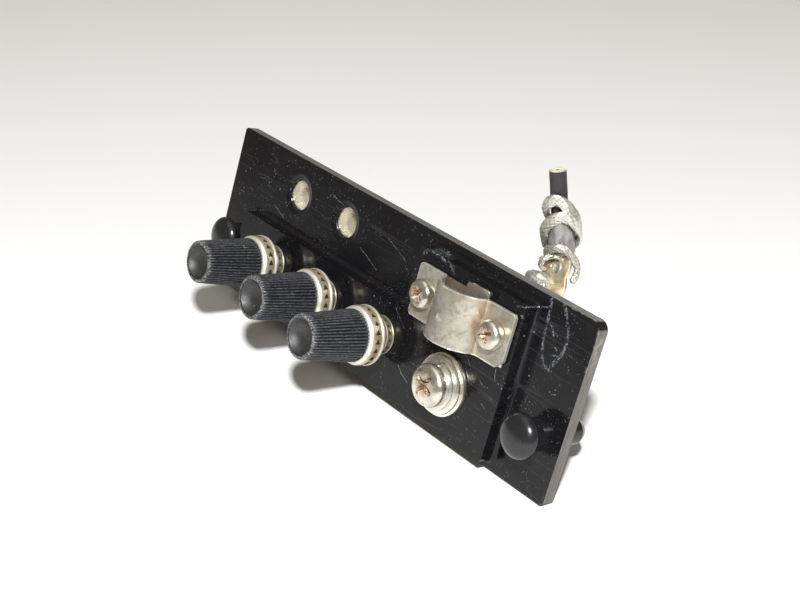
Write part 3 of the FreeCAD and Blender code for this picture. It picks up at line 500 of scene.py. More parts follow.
M = {
    "recess": recess_shade_material(),
    "board": board_material(), "cap": cap_material(), "rivet": rivet_material(),
    "nickel": metal("nickel_ring_detailed", (0.60, 0.53, 0.395), (0.36, 0.30, 0.20), (0.27, 0.20, 0.11),
                    (0.30, 0.46), 1.6, 0.6, 0.6, 260.0, 0.75, 0.0),
    "collar": metal("collar_detailed", (0.42, 0.36, 0.25), (0.22, 0.18, 0.12), (0.12, 0.09, 0.055),
                    (0.34, 0.5), 1.0, 0.6, 0.7, 260.0, 0.25, 0.0),
    "washer": metal("washer_detailed", (0.86, 0.82, 0.70), (0.55, 0.49, 0.36), (0.40, 0.30, 0.17),
                    (0.18, 0.34), 1.0, 0.5, 0.95, 240.0, 0.5, 0.5),
    "stud": metal("stud_detailed", (0.78, 0.68, 0.44), (0.50, 0.40, 0.22), (0.25, 0.20, 0.12),
                  (0.22, 0.40), 1.0, 0.4, 0.95, 300.0, 0.0, 0.6),
    "steel": metal("zinc_steel_detailed", (0.72, 0.72, 0.70), (0.46, 0.45, 0.42), (0.32, 0.27, 0.19),
                   (0.24, 0.42), 1.0, 0.4, 0.95, 260.0, 0.4, 0.5),
    "contact": metal("contact_detailed", (0.62, 0.58, 0.50), (0.38, 0.34, 0.27), (0.40, 0.22, 0.09),
                     (0.26, 0.42), 1.0, 0.75, 0.9, 420.0, 0.7, 0.4),
    "socket": metal("socket_detailed", (0.95, 0.92, 0.82), (0.78, 0.72, 0.58), (0.66, 0.50, 0.30),
                    (0.18, 0.30), 0.2, 0.35, 0.75, 140.0, 0.6, 0.5),
    "screw": screw_material(), "rust": rust_material(), "strap": strap_material(),
    "jacket": jacket_material(), "core": core_material(), "copper": copper_material(),
    "sleeve": sleeve_material(), "braid": braid_material(), "lug": lug_material(),
    "solder": solder_material(),
}


# ------------------------------------------------------------------ mesh helpers
def obj_from(name, verts, faces, mats, attrs=None, smooth=True, mat_index=None):
    me = bpy.data.meshes.new(name)
    me.from_pydata([tuple(v) for v in verts], [], faces)
    me.validate()
    for k in (mats if isinstance(mats, list) else [mats]):
        me.materials.append(k)
    if mat_index:
        me.polygons.foreach_set("material_index", mat_index)
    for key, vals in (attrs or {}).items():
        a = me.attributes.new(key, "FLOAT", "POINT")
        a.data.foreach_set("value", [float(x) for x in vals])
    me.update()
    o = bpy.data.objects.new(name, me)
    bpy.context.scene.collection.objects.link(o)
    fix_normals(o)
    if smooth:
        shade(o)
    return o


def fix_normals(o):
    bm = bmesh.new()
    bm.from_mesh(o.data)
    bmesh.ops.recalc_face_normals(bm, faces=bm.faces)
    bm.to_mesh(o.data)
    bm.free()


def shade(o, angle=38.0):
    o.data.polygons.foreach_set("use_smooth", [True] * len(o.data.polygons))
    bm = bmesh.new()
    bm.from_mesh(o.data)
    lim = math.radians(angle)
    for e in bm.edges:
        e.smooth = len(e.link_faces) == 2 and e.calc_face_angle(0.0) < lim
    bm.to_mesh(o.data)
    bm.free()
    o.data.update()


def rings_mesh(rings, close_start=None, close_end=None, loop=False):
    # rings: lists of equally many points; close_*: 'fan' for a centre fan; loop joins last to first
    verts, faces = [], []
    n = len(rings[0])
    for r in rings:
        verts += r
    m = len(rings)
    for i in range(m if loop else m - 1):
        a, b = i * n, ((i + 1) % m) * n
        for k in range(n):
            k2 = (k + 1) % n
            faces.append((a + k, a + k2, b + k2, b + k))
    if close_start:
        c = sum((Vector(p) for p in rings[0]), Vector()) / n
        verts.append(c)
        j = len(verts) - 1
        faces += [(j, (k + 1) % n, k) for k in range(n)]
    if close_end:
        c = sum((Vector(p) for p in rings[-1]), Vector()) / n
        verts.append(c)
        j = len(verts) - 1
        b = (m - 1) * n
        faces += [(j, b + k, b + (k + 1) % n) for k in range(n)]
    return verts, faces


def lathe_rings(profile, cx, y0, cz, seg, rfun=None):
    # profile of (radius mm, height out mm) about the -Y direction from y0
    rings = []
    for r, h in profile:
        ring = []
        for k in range(seg):
            t = TAU * k / seg
            rr = r if rfun is None else rfun(r, h, t)
            ring.append(Vector((cx + rr * MM * math.cos(t), y0 - h * MM, cz + rr * MM * math.sin(t))))
        rings.append(ring)
    return rings


def centre_of(node):
    lo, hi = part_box(node)
    return (lo.x + hi.x) / 2, (lo.z + hi.z) / 2, lo, hi


def smooth_profile(pts, per=4):
    # Catmull-Rom through (r, h) points
    out = []
    n = len(pts)
    for i in range(n - 1):
        p0, p1, p2, p3 = pts[max(i - 1, 0)], pts[i], pts[i + 1], pts[min(i + 2, n - 1)]
        for k in range(per):
            t = k / per
            out.append(tuple(0.5 * ((2 * p1[j]) + (-p0[j] + p2[j]) * t + (2 * p0[j] - 5 * p1[j] + 4 * p2[j] - p3[j]) * t * t
                                    + (-p0[j] + 3 * p1[j] - 3 * p2[j] + p3[j]) * t ** 3) for j in range(len(p1))))
    out.append(tuple(pts[-1]))
    return out


def boolean(o, cutter, op="DIFFERENCE"):
    b = o.modifiers.new("cut", "BOOLEAN")
    b.object = cutter
    b.operation = op
    b.solver = "EXACT"
    b.material_mode = "TRANSFER"
    dg = bpy.context.evaluated_depsgraph_get()
    me = bpy.data.meshes.new_from_object(o.evaluated_get(dg))
    o.modifiers.clear()
    old = o.data
    o.data = me
    bpy.data.meshes.remove(old)
    bpy.data.objects.remove(cutter)
    return o


def set_attr(o, name, fn):
    me = o.data
    a = me.attributes.get(name) or me.attributes.new(name, "FLOAT", "POINT")
    a.data.foreach_set("value", [float(fn(v.co)) for v in me.vertices])


def add_bevel(o, width, seg=2, angle=40.0):
    b = o.modifiers.new("edges", "BEVEL")
    b.width = width * MM
    b.segments = seg
    b.limit_method = "ANGLE"
    b.angle_limit = math.radians(angle)
    b.harden_normals = False
    return b


def bake_mods(o):
    dg = bpy.context.evaluated_depsgraph_get()
    me = bpy.data.meshes.new_from_object(o.evaluated_get(dg))
    o.modifiers.clear()
    old = o.data
    o.data = me
    bpy.data.meshes.remove(old)
    return o


def done(o, body, slot, *replaced):
    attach(o, body)
    if replaced:
        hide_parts(*replaced)
    return o


# ------------------------------------------------------------------ binding posts
def make_cap(i):
    cx, cz, lo, hi = centre_of("post_%d_cap" % i)
    y0 = hi.y
    h_all = (hi.y - lo.y) / MM
    n_flute, per = 48, 8
    rb, rt = 4.95, 4.15
    turn = (0.13, 0.41, 0.77)[i - 1]

    def flute(t):
        u = ((t + turn) * n_flute / TAU) % 1.0
        return math.sin(PI * (u - 0.3) / 0.62) if 0.3 < u < 0.92 else 0.0

    prof = [(3.05, 0.0, 0), (rb - 0.25, 0.0, 0.6), (rb, 0.12, 1)]
    for k in range(1, 13):
        h = 0.12 + (h_all - 0.75) * k / 12
        prof.append((rb + (rt - rb) * h / h_all, h, 1))
    prof += [(rt + 0.0, h_all - 0.36, 1), (rt - 0.07, h_all - 0.17, 1), (rt - 0.2, h_all - 0.05, 0.9),
             (rt - 0.38, h_all, 0.55), (rt - 0.62, h_all, 0.0), (3.36, h_all - 0.06, 0), (3.2, h_all - 0.22, 0),
             (3.02, h_all - 0.50, 0), (2.76, h_all - 0.84, 0), (2.4, h_all - 1.18, 0), (1.95, h_all - 1.46, 0),
             (1.4, h_all - 1.66, 0), (0.75, h_all - 1.78, 0), (0.25, h_all - 1.81, 0)]
    seg = n_flute * per
    rings, crest, rim, dish = [], [], [], []
    rng = noise
    for r, h, w in prof:
        ring = []
        for k in range(seg):
            t = TAU * k / seg
            f = flute(t)
            wob = rng.noise(Vector((math.cos(t) * 1.7 + i * 3, math.sin(t) * 1.7, h * 0.35))) * 0.02
            rr = r - 0.30 * f * w + wob * w
            ring.append(Vector((cx + rr * MM * math.cos(t), y0 - h * MM, cz + rr * MM * math.sin(t))))
            crest.append((1 - f) * (1 if w > 0.4 else 0))
            rim.append(1.0 if (h > h_all - 0.5 and r > 3.4) else (0.5 if h > h_all - 1.3 and r > 3.9 else 0.0))
            dish.append(1.0 if r < 3.3 and h > h_all - 2 else 0.0)
        rings.append(ring)
    # hollow inside for the stud
    back = []
    for r, h in ((3.05, 6.0), (2.5, 6.0), (2.5, 9.4)):
        back.append([Vector((cx + r * MM * math.cos(TAU * k / seg), y0 - h * MM,
                             cz + r * MM * math.sin(TAU * k / seg))) for k in range(seg)])
    rings = list(reversed(back)) + rings
    pad = [0.0] * (3 * seg)
    verts, faces = rings_mesh(rings, "fan", "fan")
    crest, rim, dish = pad + crest + [0, 0], pad + rim + [0, 0], pad + dish + [0, 1]
    o = obj_from("knob_%d_cap" % i, verts, faces, M["cap"], {"crest": crest, "rim": rim, "dish": dish})
    shade(o, 50)
    return done(o, "post_%d_knob" % i, "black_cap", "post_%d_cap" % i)


def wedge_cutter(name, cx, cz, y0, h_mid, count, r_in, r_out, half_w, half_a, phase, mat, wob=0.0):
    # ring of triangular punches: the flat side down the turn, the point up it
    verts, faces = [], []
    for k in range(count):
        t0 = TAU * (k + phase) / count
        jit = wob * math.sin(k * 2.4 + 1.0)
        tri = [(-half_w, -half_a), (-half_w, half_a), (half_w, jit)]
        base = len(verts)
        for rr, grow in ((r_in, 0.35), (r_out, 1.15)):
            for t, a in tri:
                ang = t0 + (t * grow) / r_out
                verts.append(Vector((cx + rr * MM * math.cos(ang), y0 - (h_mid + a * grow + jit * 0.3) * MM,
                                     cz + rr * MM * math.sin(ang))))
        b = base
        faces += [(b, b + 1, b + 2), (b + 5, b + 4, b + 3), (b, b + 3, b + 4, b + 1), (b + 1, b + 4, b + 5, b + 2),
                  (b + 2, b + 5, b + 3, b)]
    return obj_from(name, verts, faces, mat, smooth=False)


def make_ring(i):
    node = "post_%d_skirt_insert" % i
    cx, cz, lo, hi = centre_of(node)
    y0 = hi.y
    s = 5.65
    prof = [(2.06, 0.0), (s - 0.42, 0.0), (s - 0.14, 0.05), (s - 0.02, 0.18), (s, 0.34), (s - 0.03, 0.5), (s - 0.14, 0.62),
            (s - 0.24, 0.7), (s - 0.25, 0.8), (s - 0.2, 0.9), (s - 0.15, 1.1), (s - 0.11, 1.4), (s - 0.10, 1.8), (s - 0.10, 2.2),
            (s - 0.12, 2.5), (s - 0.17, 2.66), (s - 0.25, 2.82), (s - 0.36, 2.97), (s - 0.50, 3.13), (s - 0.66, 3.25),
            (s - 0.95, 3.3), (3.04, 3.3), (3.04, 9.25), (2.06, 9.25)]
    wob = lambda r, h, t: r + (0.035 * math.sin(2 * t + i) + 0.02 * math.sin(5 * t + 2 * i) if r > 4.5 else 0)
    rings = lathe_rings(prof, cx, y0, cz, 120, wob)
    verts, faces = rings_mesh(rings, loop=True)
    o = obj_from("knob_%d_ring" % i, verts, faces, [M["nickel"]])
    # the punched faces take the near-black recess material: painted shade
    cut = wedge_cutter("cutter", cx, cz, y0, 1.66, 20, 5.10, 5.75, 0.58, 0.66, 0.2 * i, M["recess"], 0.08)
    o = boolean(o, cut)
    c = Vector((cx, 0, cz))

    def deep(p):
        r = math.hypot(p.x - cx, p.z - cz) / MM
        h = (y0 - p.y) / MM
        return 1.0 if r < 5.36 and 0.75 < h < 2.1 else 0.0

    # mask for the painted highlight on the front shoulder and the rear bead
    def edge(p):
        h = (y0 - p.y) / MM
        r = math.hypot(p.x - cx, p.z - cz) / MM
        if r < 4.4:
            return 0.0
        return 0.8 if h > 2.75 or (0.15 < h < 0.55 and r > 5.5) else 0.0
    set_attr(o, "deep", deep)
    set_attr(o, "edge", edge)
    shade(o, 30)
    return done(o, "post_%d_knob" % i, "nickel_plate", node)


def make_collar(i):
    node = "post_%d_base_collar" % i
    cx, cz, lo, hi = centre_of(node)
    y0 = hi.y
    prof = [(2.03, 0), (3.45, 0), (3.66, 0.12), (3.7, 0.3), (3.62, 0.42), (3.6, 0.8), (3.6, 1.4), (3.66, 1.6), (3.7, 1.74),
            (3.62, 1.9), (3.4, 1.975), (2.03, 1.975)]
    rings = lathe_rings(prof, cx, y0, cz, 96)
    verts, faces = rings_mesh(rings, loop=True)
    o = obj_from("post_%d_collar" % i, verts, faces, [M["collar"]])
    # the punched faces take the near-black recess material: painted shade
    cut = wedge_cutter("cutter", cx, cz, y0, 1.08, 16, 3.3, 3.75, 0.36, 0.42, 0.4 + 0.3 * i, M["recess"], 0.05)
    o = boolean(o, cut)
    set_attr(o, "deep", lambda p: 1.0 if 3.0 < math.hypot(p.x - cx, p.z - cz) / MM < 3.5 and 0.5 < (y0 - p.y) / MM < 1.6 else 0.0)
    # outer crests: mask for the painted highlight
    set_attr(o, "edge", lambda p: 1.0 if math.hypot(p.x - cx, p.z - cz) / MM > 3.63 else 0.0)
    shade(o, 30)
    return done(o, "board", "nickel_plate", node)


def make_washer(name, node, body, mat, slot, r_in, round_r=0.12, dents=(), seg=120, warp=0.0, phase=0.0, gap=None):
    cx, cz, lo, hi = centre_of(node)
    r = (hi.x - lo.x) / 2 / MM
    y0, th = hi.y, (hi.y - lo.y) / MM
    q = min(round_r, th * 0.45)
    prof = [(r_in, q * 0.5), (r_in + q * 0.5, 0), (r - q, 0), (r - q * 0.3, q * 0.3), (r, q), (r, th - q),
            (r - q * 0.3, th - q * 0.3), (r - q, th), (r_in + q * 0.5, th), (r_in, th - q * 0.5)]

    def rf(rr, h, t):
        if rr < r * 0.75:
            return rr
        f = 0.0
        for a, w, d in dents:
            x = ((t - a + PI) % TAU - PI) / w
            f += d * math.exp(-x * x)
        return rr - f + 0.02 * math.sin(3 * t + phase)
    if gap is None:
        verts, faces = rings_mesh(lathe_rings(prof, cx, y0, cz, seg, rf), loop=True)
    else:
        # split ring: sweep the section round, open at the gap
        a0, half = gap
        secs = []
        for k in range(seg + 1):
            t = a0 + half + (TAU - 2 * half) * k / seg
            ramp_h = 0.0
            secs.append([Vector((cx + rf(rr, h, t) * MM * math.cos(t), y0 - (h + ramp_h) * MM,
                                 cz + rf(rr, h, t) * MM * math.sin(t))) for rr, h in prof])
        verts, faces = rings_mesh(secs, "fan", "fan")
    o = obj_from(name, verts, faces, mat)
    # outer rim: mask for the painted highlight
    set_attr(o, "edge", lambda p: 1.0 if math.hypot(p.x - cx, p.z - cz) / MM > r - q * 1.4 else 0.0)
    shade(o, 32)
    return done(o, body, slot, node)


def threaded_rod(name, cx, cz, y_back, y_front, r, pitch, cham=0.35, seg=28, depth=None):
    # a rod along Y with a real helical thread
    depth = depth or pitch * 0.42
    length = (y_back - y_front) / MM
    rows = int(length / pitch * 7)
    rings = []
    for j in range(rows + 1):
        h = length * j / rows
        ring = []
        for k in range(seg):
            t = TAU * k / seg
            u = (h / pitch - t / TAU) % 1.0
            tri = abs(2 * u - 1)
            prof = min(1.0, max(0.0, (tri - 0.12) / 0.76))
            rr = r - depth * prof
            end = min(h, length - h)
            if end < cham:
                rr = min(rr, r - (cham - end))
            ring.append(Vector((cx + rr * MM * math.cos(t), y_back - h * MM, cz + rr * MM * math.sin(t))))
        rings.append(ring)
    verts, faces = rings_mesh(rings, "fan", "fan")
    return verts, faces


def make_stud(i):
    node = "post_%d_stud" % i
    cx, cz, lo, hi = centre_of(node)
    verts, faces = threaded_rod(node, cx, cz, hi.y, lo.y, 1.98, 0.7)
    o = obj_from("post_%d_threaded_stud" % i, verts, faces, [M["stud"]])
    # cross hole for the wire
    hole = []
    for sx in (-2.6, 2.6):
        hole.append([Vector((cx + sx * MM, -9.3 * MM + 0.9 * MM * math.cos(TAU * k / 24), cz + 0.9 * MM * math.sin(TAU * k / 24)))
                     for k in range(24)])
    v, f = rings_mesh(hole, "fan", "fan")
    cut = obj_from("cutter", v, f, M["stud"], smooth=False)
    o = boolean(o, cut)
    # thread roots: mask for the painted shade
    set_attr(o, "deep", lambda p: 1.0 if math.hypot(p.x - cx, p.z - cz) / MM < 1.76 else 0.0)
    shade(o, 60)
    return done(o, "board", "brass", node)


# ------------------------------------------------------------------ screws and nuts
def make_screw(name, node, body, r_head, h_head, r_rod, pitch, spin, cross_r, cross_w, cross_d, head_base):
    cx, cz, lo, hi = centre_of(node)
    yb = head_base * MM            # y of the head's seat
    prof = [(r_rod - 0.05, 0.0), (r_head - 0.22, 0.0), (r_head - 0.05, 0.08), (r_head, 0.22), (r_head, h_head * 0.42),
            (r_head * 0.985, h_head * 0.56), (r_head * 0.94, h_head * 0.70), (r_head * 0.86, h_head * 0.815),
            (r_head * 0.75, h_head * 0.895), (r_head * 0.62, h_head * 0.95), (r_head * 0.47, h_head * 0.98),
            (r_head * 0.3, h_head * 0.995), (r_head * 0.12, h_head)]
    seg = 96
    rod = []
    length = (hi.y / MM) - head_base
    rows = int(length / pitch * 7)
    ring_list = []
    for j in range(rows + 1):
        h = length - length * j / rows            # distance behind the seat
        ring = []
        for k in range(seg):
            t = TAU * k / seg
            u = (h / pitch + t / TAU) % 1.0
            prof_t = min(1.0, max(0.0, (abs(2 * u - 1) - 0.12) / 0.76))
            rr = r_rod - 0.02 - pitch * 0.42 * prof_t * min(1.0, h / 0.5)
            if length - h < 0.4:
                rr = min(rr, r_rod - (0.4 - (length - h)))
            ring.append(Vector((cx + rr * MM * math.cos(t), yb + h * MM, cz + rr * MM * math.sin(t))))
        ring_list.append(ring)
    head = lathe_rings(prof, cx, yb, cz, seg)
    verts, faces = rings_mesh(ring_list + head, "fan", "fan")
    o = obj_from(name, verts, faces, [M["screw"]])
    # cross recess: two tapered bars
    for a in (spin, spin + PI / 2):
        d, s = Vector((math.cos(a), 0, math.sin(a))), Vector((-math.sin(a), 0, math.cos(a)))
        c = Vector((cx, yb - h_head * MM, cz))
        secs = []
        for dep, lr, wr in ((cross_d, cross_r * 0.42, cross_w * 0.55), (cross_d * 0.45, cross_r * 0.80, cross_w * 0.85),
                            (-0.4, cross_r * 1.05, cross_w * 1.25)):
            q = c + Vector((0, dep * MM, 0))
            sec = []
            for k in range(20):
                t = TAU * k / 20
                ct, st = math.cos(t), math.sin(t)
                px = math.copysign(abs(ct) ** 0.35, ct) * lr
                pw = math.copysign(abs(st) ** 0.35, st) * wr / 2
                sec.append(q + d * (px * MM) + s * (pw * MM))
            secs.append(sec)
        v, f = rings_mesh(secs, "fan", "fan")
        o = boolean(o, obj_from("cutter", v, f, M["rust"], smooth=False))
    set_attr(o, "near", lambda p: max(0.0, 1.0 - math.hypot(p.x - cx, p.z - cz) / MM / (r_head * 0.95)) if p.y < yb - h_head * 0.3 * MM else 0.0)
    shade(o, 34)
    return done(o, body, "screw_metal", node)


def make_nut(name, node, body, flat, bore, turn=0.0):
    cx, cz, lo, hi = centre_of(node)
    y0, th = hi.y, (hi.y - lo.y) / MM
    seg = 120
    rc = flat / 2 / math.cos(PI / 6)

    def rf(r, h, t):
        a = (t % (PI / 3)) - PI / 6
        hexr = flat / 2 / math.cos(a)
        e = min(h, th - h)
        return min(hexr, flat / 2 * 0.985 + e * 1.9)
    hs = [0.0, 0.06, 0.14, 0.24, 0.36, 0.5, th - 0.5, th - 0.36, th - 0.24, th - 0.14, th - 0.06, th]
    out = lathe_rings([(1, h) for h in hs], cx, y0, cz, seg, rf)
    inn = lathe_rings([(bore + 0.3, th), (bore + 0.02, th - 0.3), (bore + 0.02, 0.3), (bore + 0.3, 0.0)], cx, y0, cz, seg)
    verts, faces = rings_mesh(out + inn, loop=True)
    o = obj_from(name, verts, faces, [M["steel"]])
    set_attr(o, "edge", lambda p: 0.0)
    shade(o, 22)
    return done(o, body, "steel", node)


for i in (1, 2, 3):
    make_cap(i)
    make_ring(i)
    make_collar(i)
    make_stud(i)
    make_washer("post_%d_loose_washer" % i, "post_%d_pressure_washer" % i, "post_%d_carriage" % i, M["washer"],
                "nickel_plate", 2.06, 0.12, phase=i)
    make_nut("post_%d_hex_nut" % i, "post_%d_rear_nut" % i, "board", 7.0, 2.02)

make_screw("clamp_left_pan_screw", "clamp_screw_left", "clamp_left_screw", 2.75, 2.3, 1.5, 0.5, 0.95, 1.72, 0.78, 1.25, -6.4)
make_screw("clamp_right_pan_screw", "clamp_screw_right", "clamp_right_screw", 2.75, 2.3, 1.5, 0.5, 0.55, 1.72, 0.78, 1.25, -6.4)
make_screw("earth_pan_screw", "earth_screw", "earth_screw_body", 3.95, 2.6, 2.0, 0.7, 1.15, 2.55, 1.15, 1.6, -8.0)
make_nut("clamp_left_hex_nut", "clamp_nut_left", "board", 5.5, 1.55)
make_nut("clamp_right_hex_nut", "clamp_nut_right", "board", 5.5, 1.55)
make_nut("earth_hex_nut", "earth_nut", "board", 7.0, 2.05)
make_washer("earth_big_washer", "earth_flat_washer", "earth_washers", M["washer"], "nickel_plate", 2.06, 0.2,
            dents=((4.35, 0.10, 0.28), (2.2, 0.3, 0.1)))
make_washer("earth_middle_washer", "earth_clamp_washer", "earth_washers", M["washer"], "nickel_plate", 2.06, 0.22,
            dents=((1.1, 0.4, 0.08),), phase=1.3)
make_washer("earth_split_washer", "earth_spring_washer", "earth_washers", M["steel"], "steel", 2.06, 0.15,
            phase=0.4, gap=(PI / 2, 0.055))


# ------------------------------------------------------------------ push rivets
def make_rivet(side):
    node = "rivet_%s_plunger" % side
    cx, cz, lo, hi = centre_of(node)
    r, hh = 4.1, 2.6
    base = -lo.y / MM - hh
    back = hi.y / MM
    prof = [(0.3, -back), (0.75, -back), (1.1, -back + 0.35), (1.24, -back + 0.9), (1.24, base - 0.1), (1.24, base + 0.02), (3.55, base + 0.02),
            (3.86, base + 0.07), (4.02, base + 0.18), (4.1, base + 0.38), (4.09, base + 0.62), (4.0, base + 0.95),
            (3.82, base + 1.28), (3.52, base + 1.62), (3.1, base + 1.94), (2.58, base + 2.2), (1.95, base + 2.4),
            (1.25, base + 2.53), (0.55, base + 2.595), (0.15, base + 2.6)]
    rings = lathe_rings(prof, cx, 0.0, cz, 96)
    verts, faces = rings_mesh(rings, "fan", "fan")
    o = obj_from("rivet_%s_dome" % side, verts, faces, M["rivet"])
    shade(o, 40)
    return done(o, "rivet_%s_pin" % side, "black_rivet", node)


for side in ("left", "right"):
    make_rivet(side)


# ------------------------------------------------------------------ jack contacts
def make_socket(i):
    node = "jack_%d_socket" % i
    lo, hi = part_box(node)
    cx, cz = (lo.x + hi.x) / 2, 9.3 * MM
    turn = (0.35, 0.52)[i - 1]
    n = 8
    # folded sheet: an eight-sided funnel into a split tube, thickness turned over at the mouth
    inner = [(2.78, 1.55), (2.70, 1.0), (2.45, 0.25), (2.16, -0.7), (2.12, -1.4), (2.12, -6.0), (2.12, -11.0)]
    outer = [(2.52, -11.0), (2.52, -1.6), (2.78, -0.7), (3.0, 0.2), (3.03, 1.0), (3.0, 1.55)]
    sub = 6

    def ring(r, h, facet):
        out = []
        for k in range(n * sub):
            t = TAU * k / (n * sub) + turn
            a = ((t - turn) % (TAU / n)) - PI / n
            poly = r * math.cos(PI / n) / math.cos(a) * (1.0 + 0.0)
            rr = r + (poly - r) * facet
            jag = 0.0
            if h > 1.2:
                jag = 0.28 * noise.noise(Vector((math.cos(t) * 1.6 + i * 5, math.sin(t) * 1.6, 0)))
            out.append(Vector((cx + rr * MM * math.cos(t), -(h + jag) * MM, cz + rr * MM * math.sin(t))))
        return out
    rings = [ring(r, h, 1.0 if h > -1.2 else 0.25) for r, h in inner] + [ring(r, h, 0.0) for r, h in outer]
    verts, faces = rings_mesh(rings, loop=True)
    o = obj_from("jack_%d_contact" % i, verts, faces, [M["socket"]])
    # slits down the split tube
    v, f = rings_mesh([[Vector((cx + sx * 0.3 * MM, y * MM, cz + sz * 3.2 * MM)) for sx, sz in ((-1, -1), (1, -1), (1, 1), (-1, 1))]
                       for y in (3.6, 11.6)], "fan", "fan")
    o = boolean(o, obj_from("cutter", v, f, M["socket"], smooth=False))
    # staked sheet plate behind the board with its solder tag
    y0, y1 = -0.4 * MM, 0.1 * MM
    hx, hz = 5.8 * MM, 3.8 * MM
    outline = []
    for sx, sz in ((1, 1), (-1, 1), (-1, -1), (1, -1)):
        for k in range(5):
            a = math.atan2(sz, sx) - PI / 4 + (PI / 2) * k / 4
            outline.append((cx + sx * (hx - 0.9 * MM) + 0.9 * MM * math.cos(a), cz + sz * (hz - 0.9 * MM) + 0.9 * MM * math.sin(a)))
    v, f = rings_mesh([[Vector((x, y0, z)) for x, z in outline], [Vector((x, y1, z)) for x, z in outline]], "fan", "fan")
    plate = obj_from("jack_%d_plate" % i, v, f, [M["socket"]], smooth=False)
    v, f = rings_mesh(lathe_rings([(2.9, -1), (2.9, 3)], cx, 0.001, cz, 48), "fan", "fan")
    plate = boolean(plate, obj_from("cutter", v, f, M["socket"], smooth=False))
    tag = [(cx - 1.3 * MM, 0), (cx + 1.3 * MM, 0)]
    zt = hi.z
    pts = [(-1.3, 0.1), (1.3, 0.1), (1.3, 4.2), (0.9, 5.0), (-0.9, 5.0), (-1.3, 4.2)]
    v, f = rings_mesh([[Vector((cx + a * MM, b * MM, zt - 0.5 * MM)) for a, b in pts],
                       [Vector((cx + a * MM, b * MM, zt)) for a, b in pts]], "fan", "fan")
    t = obj_from("jack_%d_tag" % i, v, f, [M["socket"]], smooth=False)
    hole = [[Vector((cx + 0.75 * MM * math.cos(TAU * k / 20), (3.6 + 0.75 * math.sin(TAU * k / 20)) * MM, zz)) for k in range(20)]
            for zz in (zt - 0.9 * MM, zt + 0.4 * MM)]
    v, f = rings_mesh(hole, "fan", "fan")
    t = boolean(t, obj_from("cutter", v, f, M["socket"], smooth=False))
    for p in (plate, t):
        add_bevel(p, 0.1, 2)
        bake_mods(p)
        set_attr(p, "edge", lambda q: 0.0)
        done(p, "board", "nickel_plate")
    # front mouth: mask for the painted highlight
    set_attr(o, "edge", lambda p: 1.0 if p.y < -1.15 * MM else 0.0)
    shade(o, 24)
    return done(o, "board", "nickel_plate", node)


for i in (1, 2):
    make_socket(i)


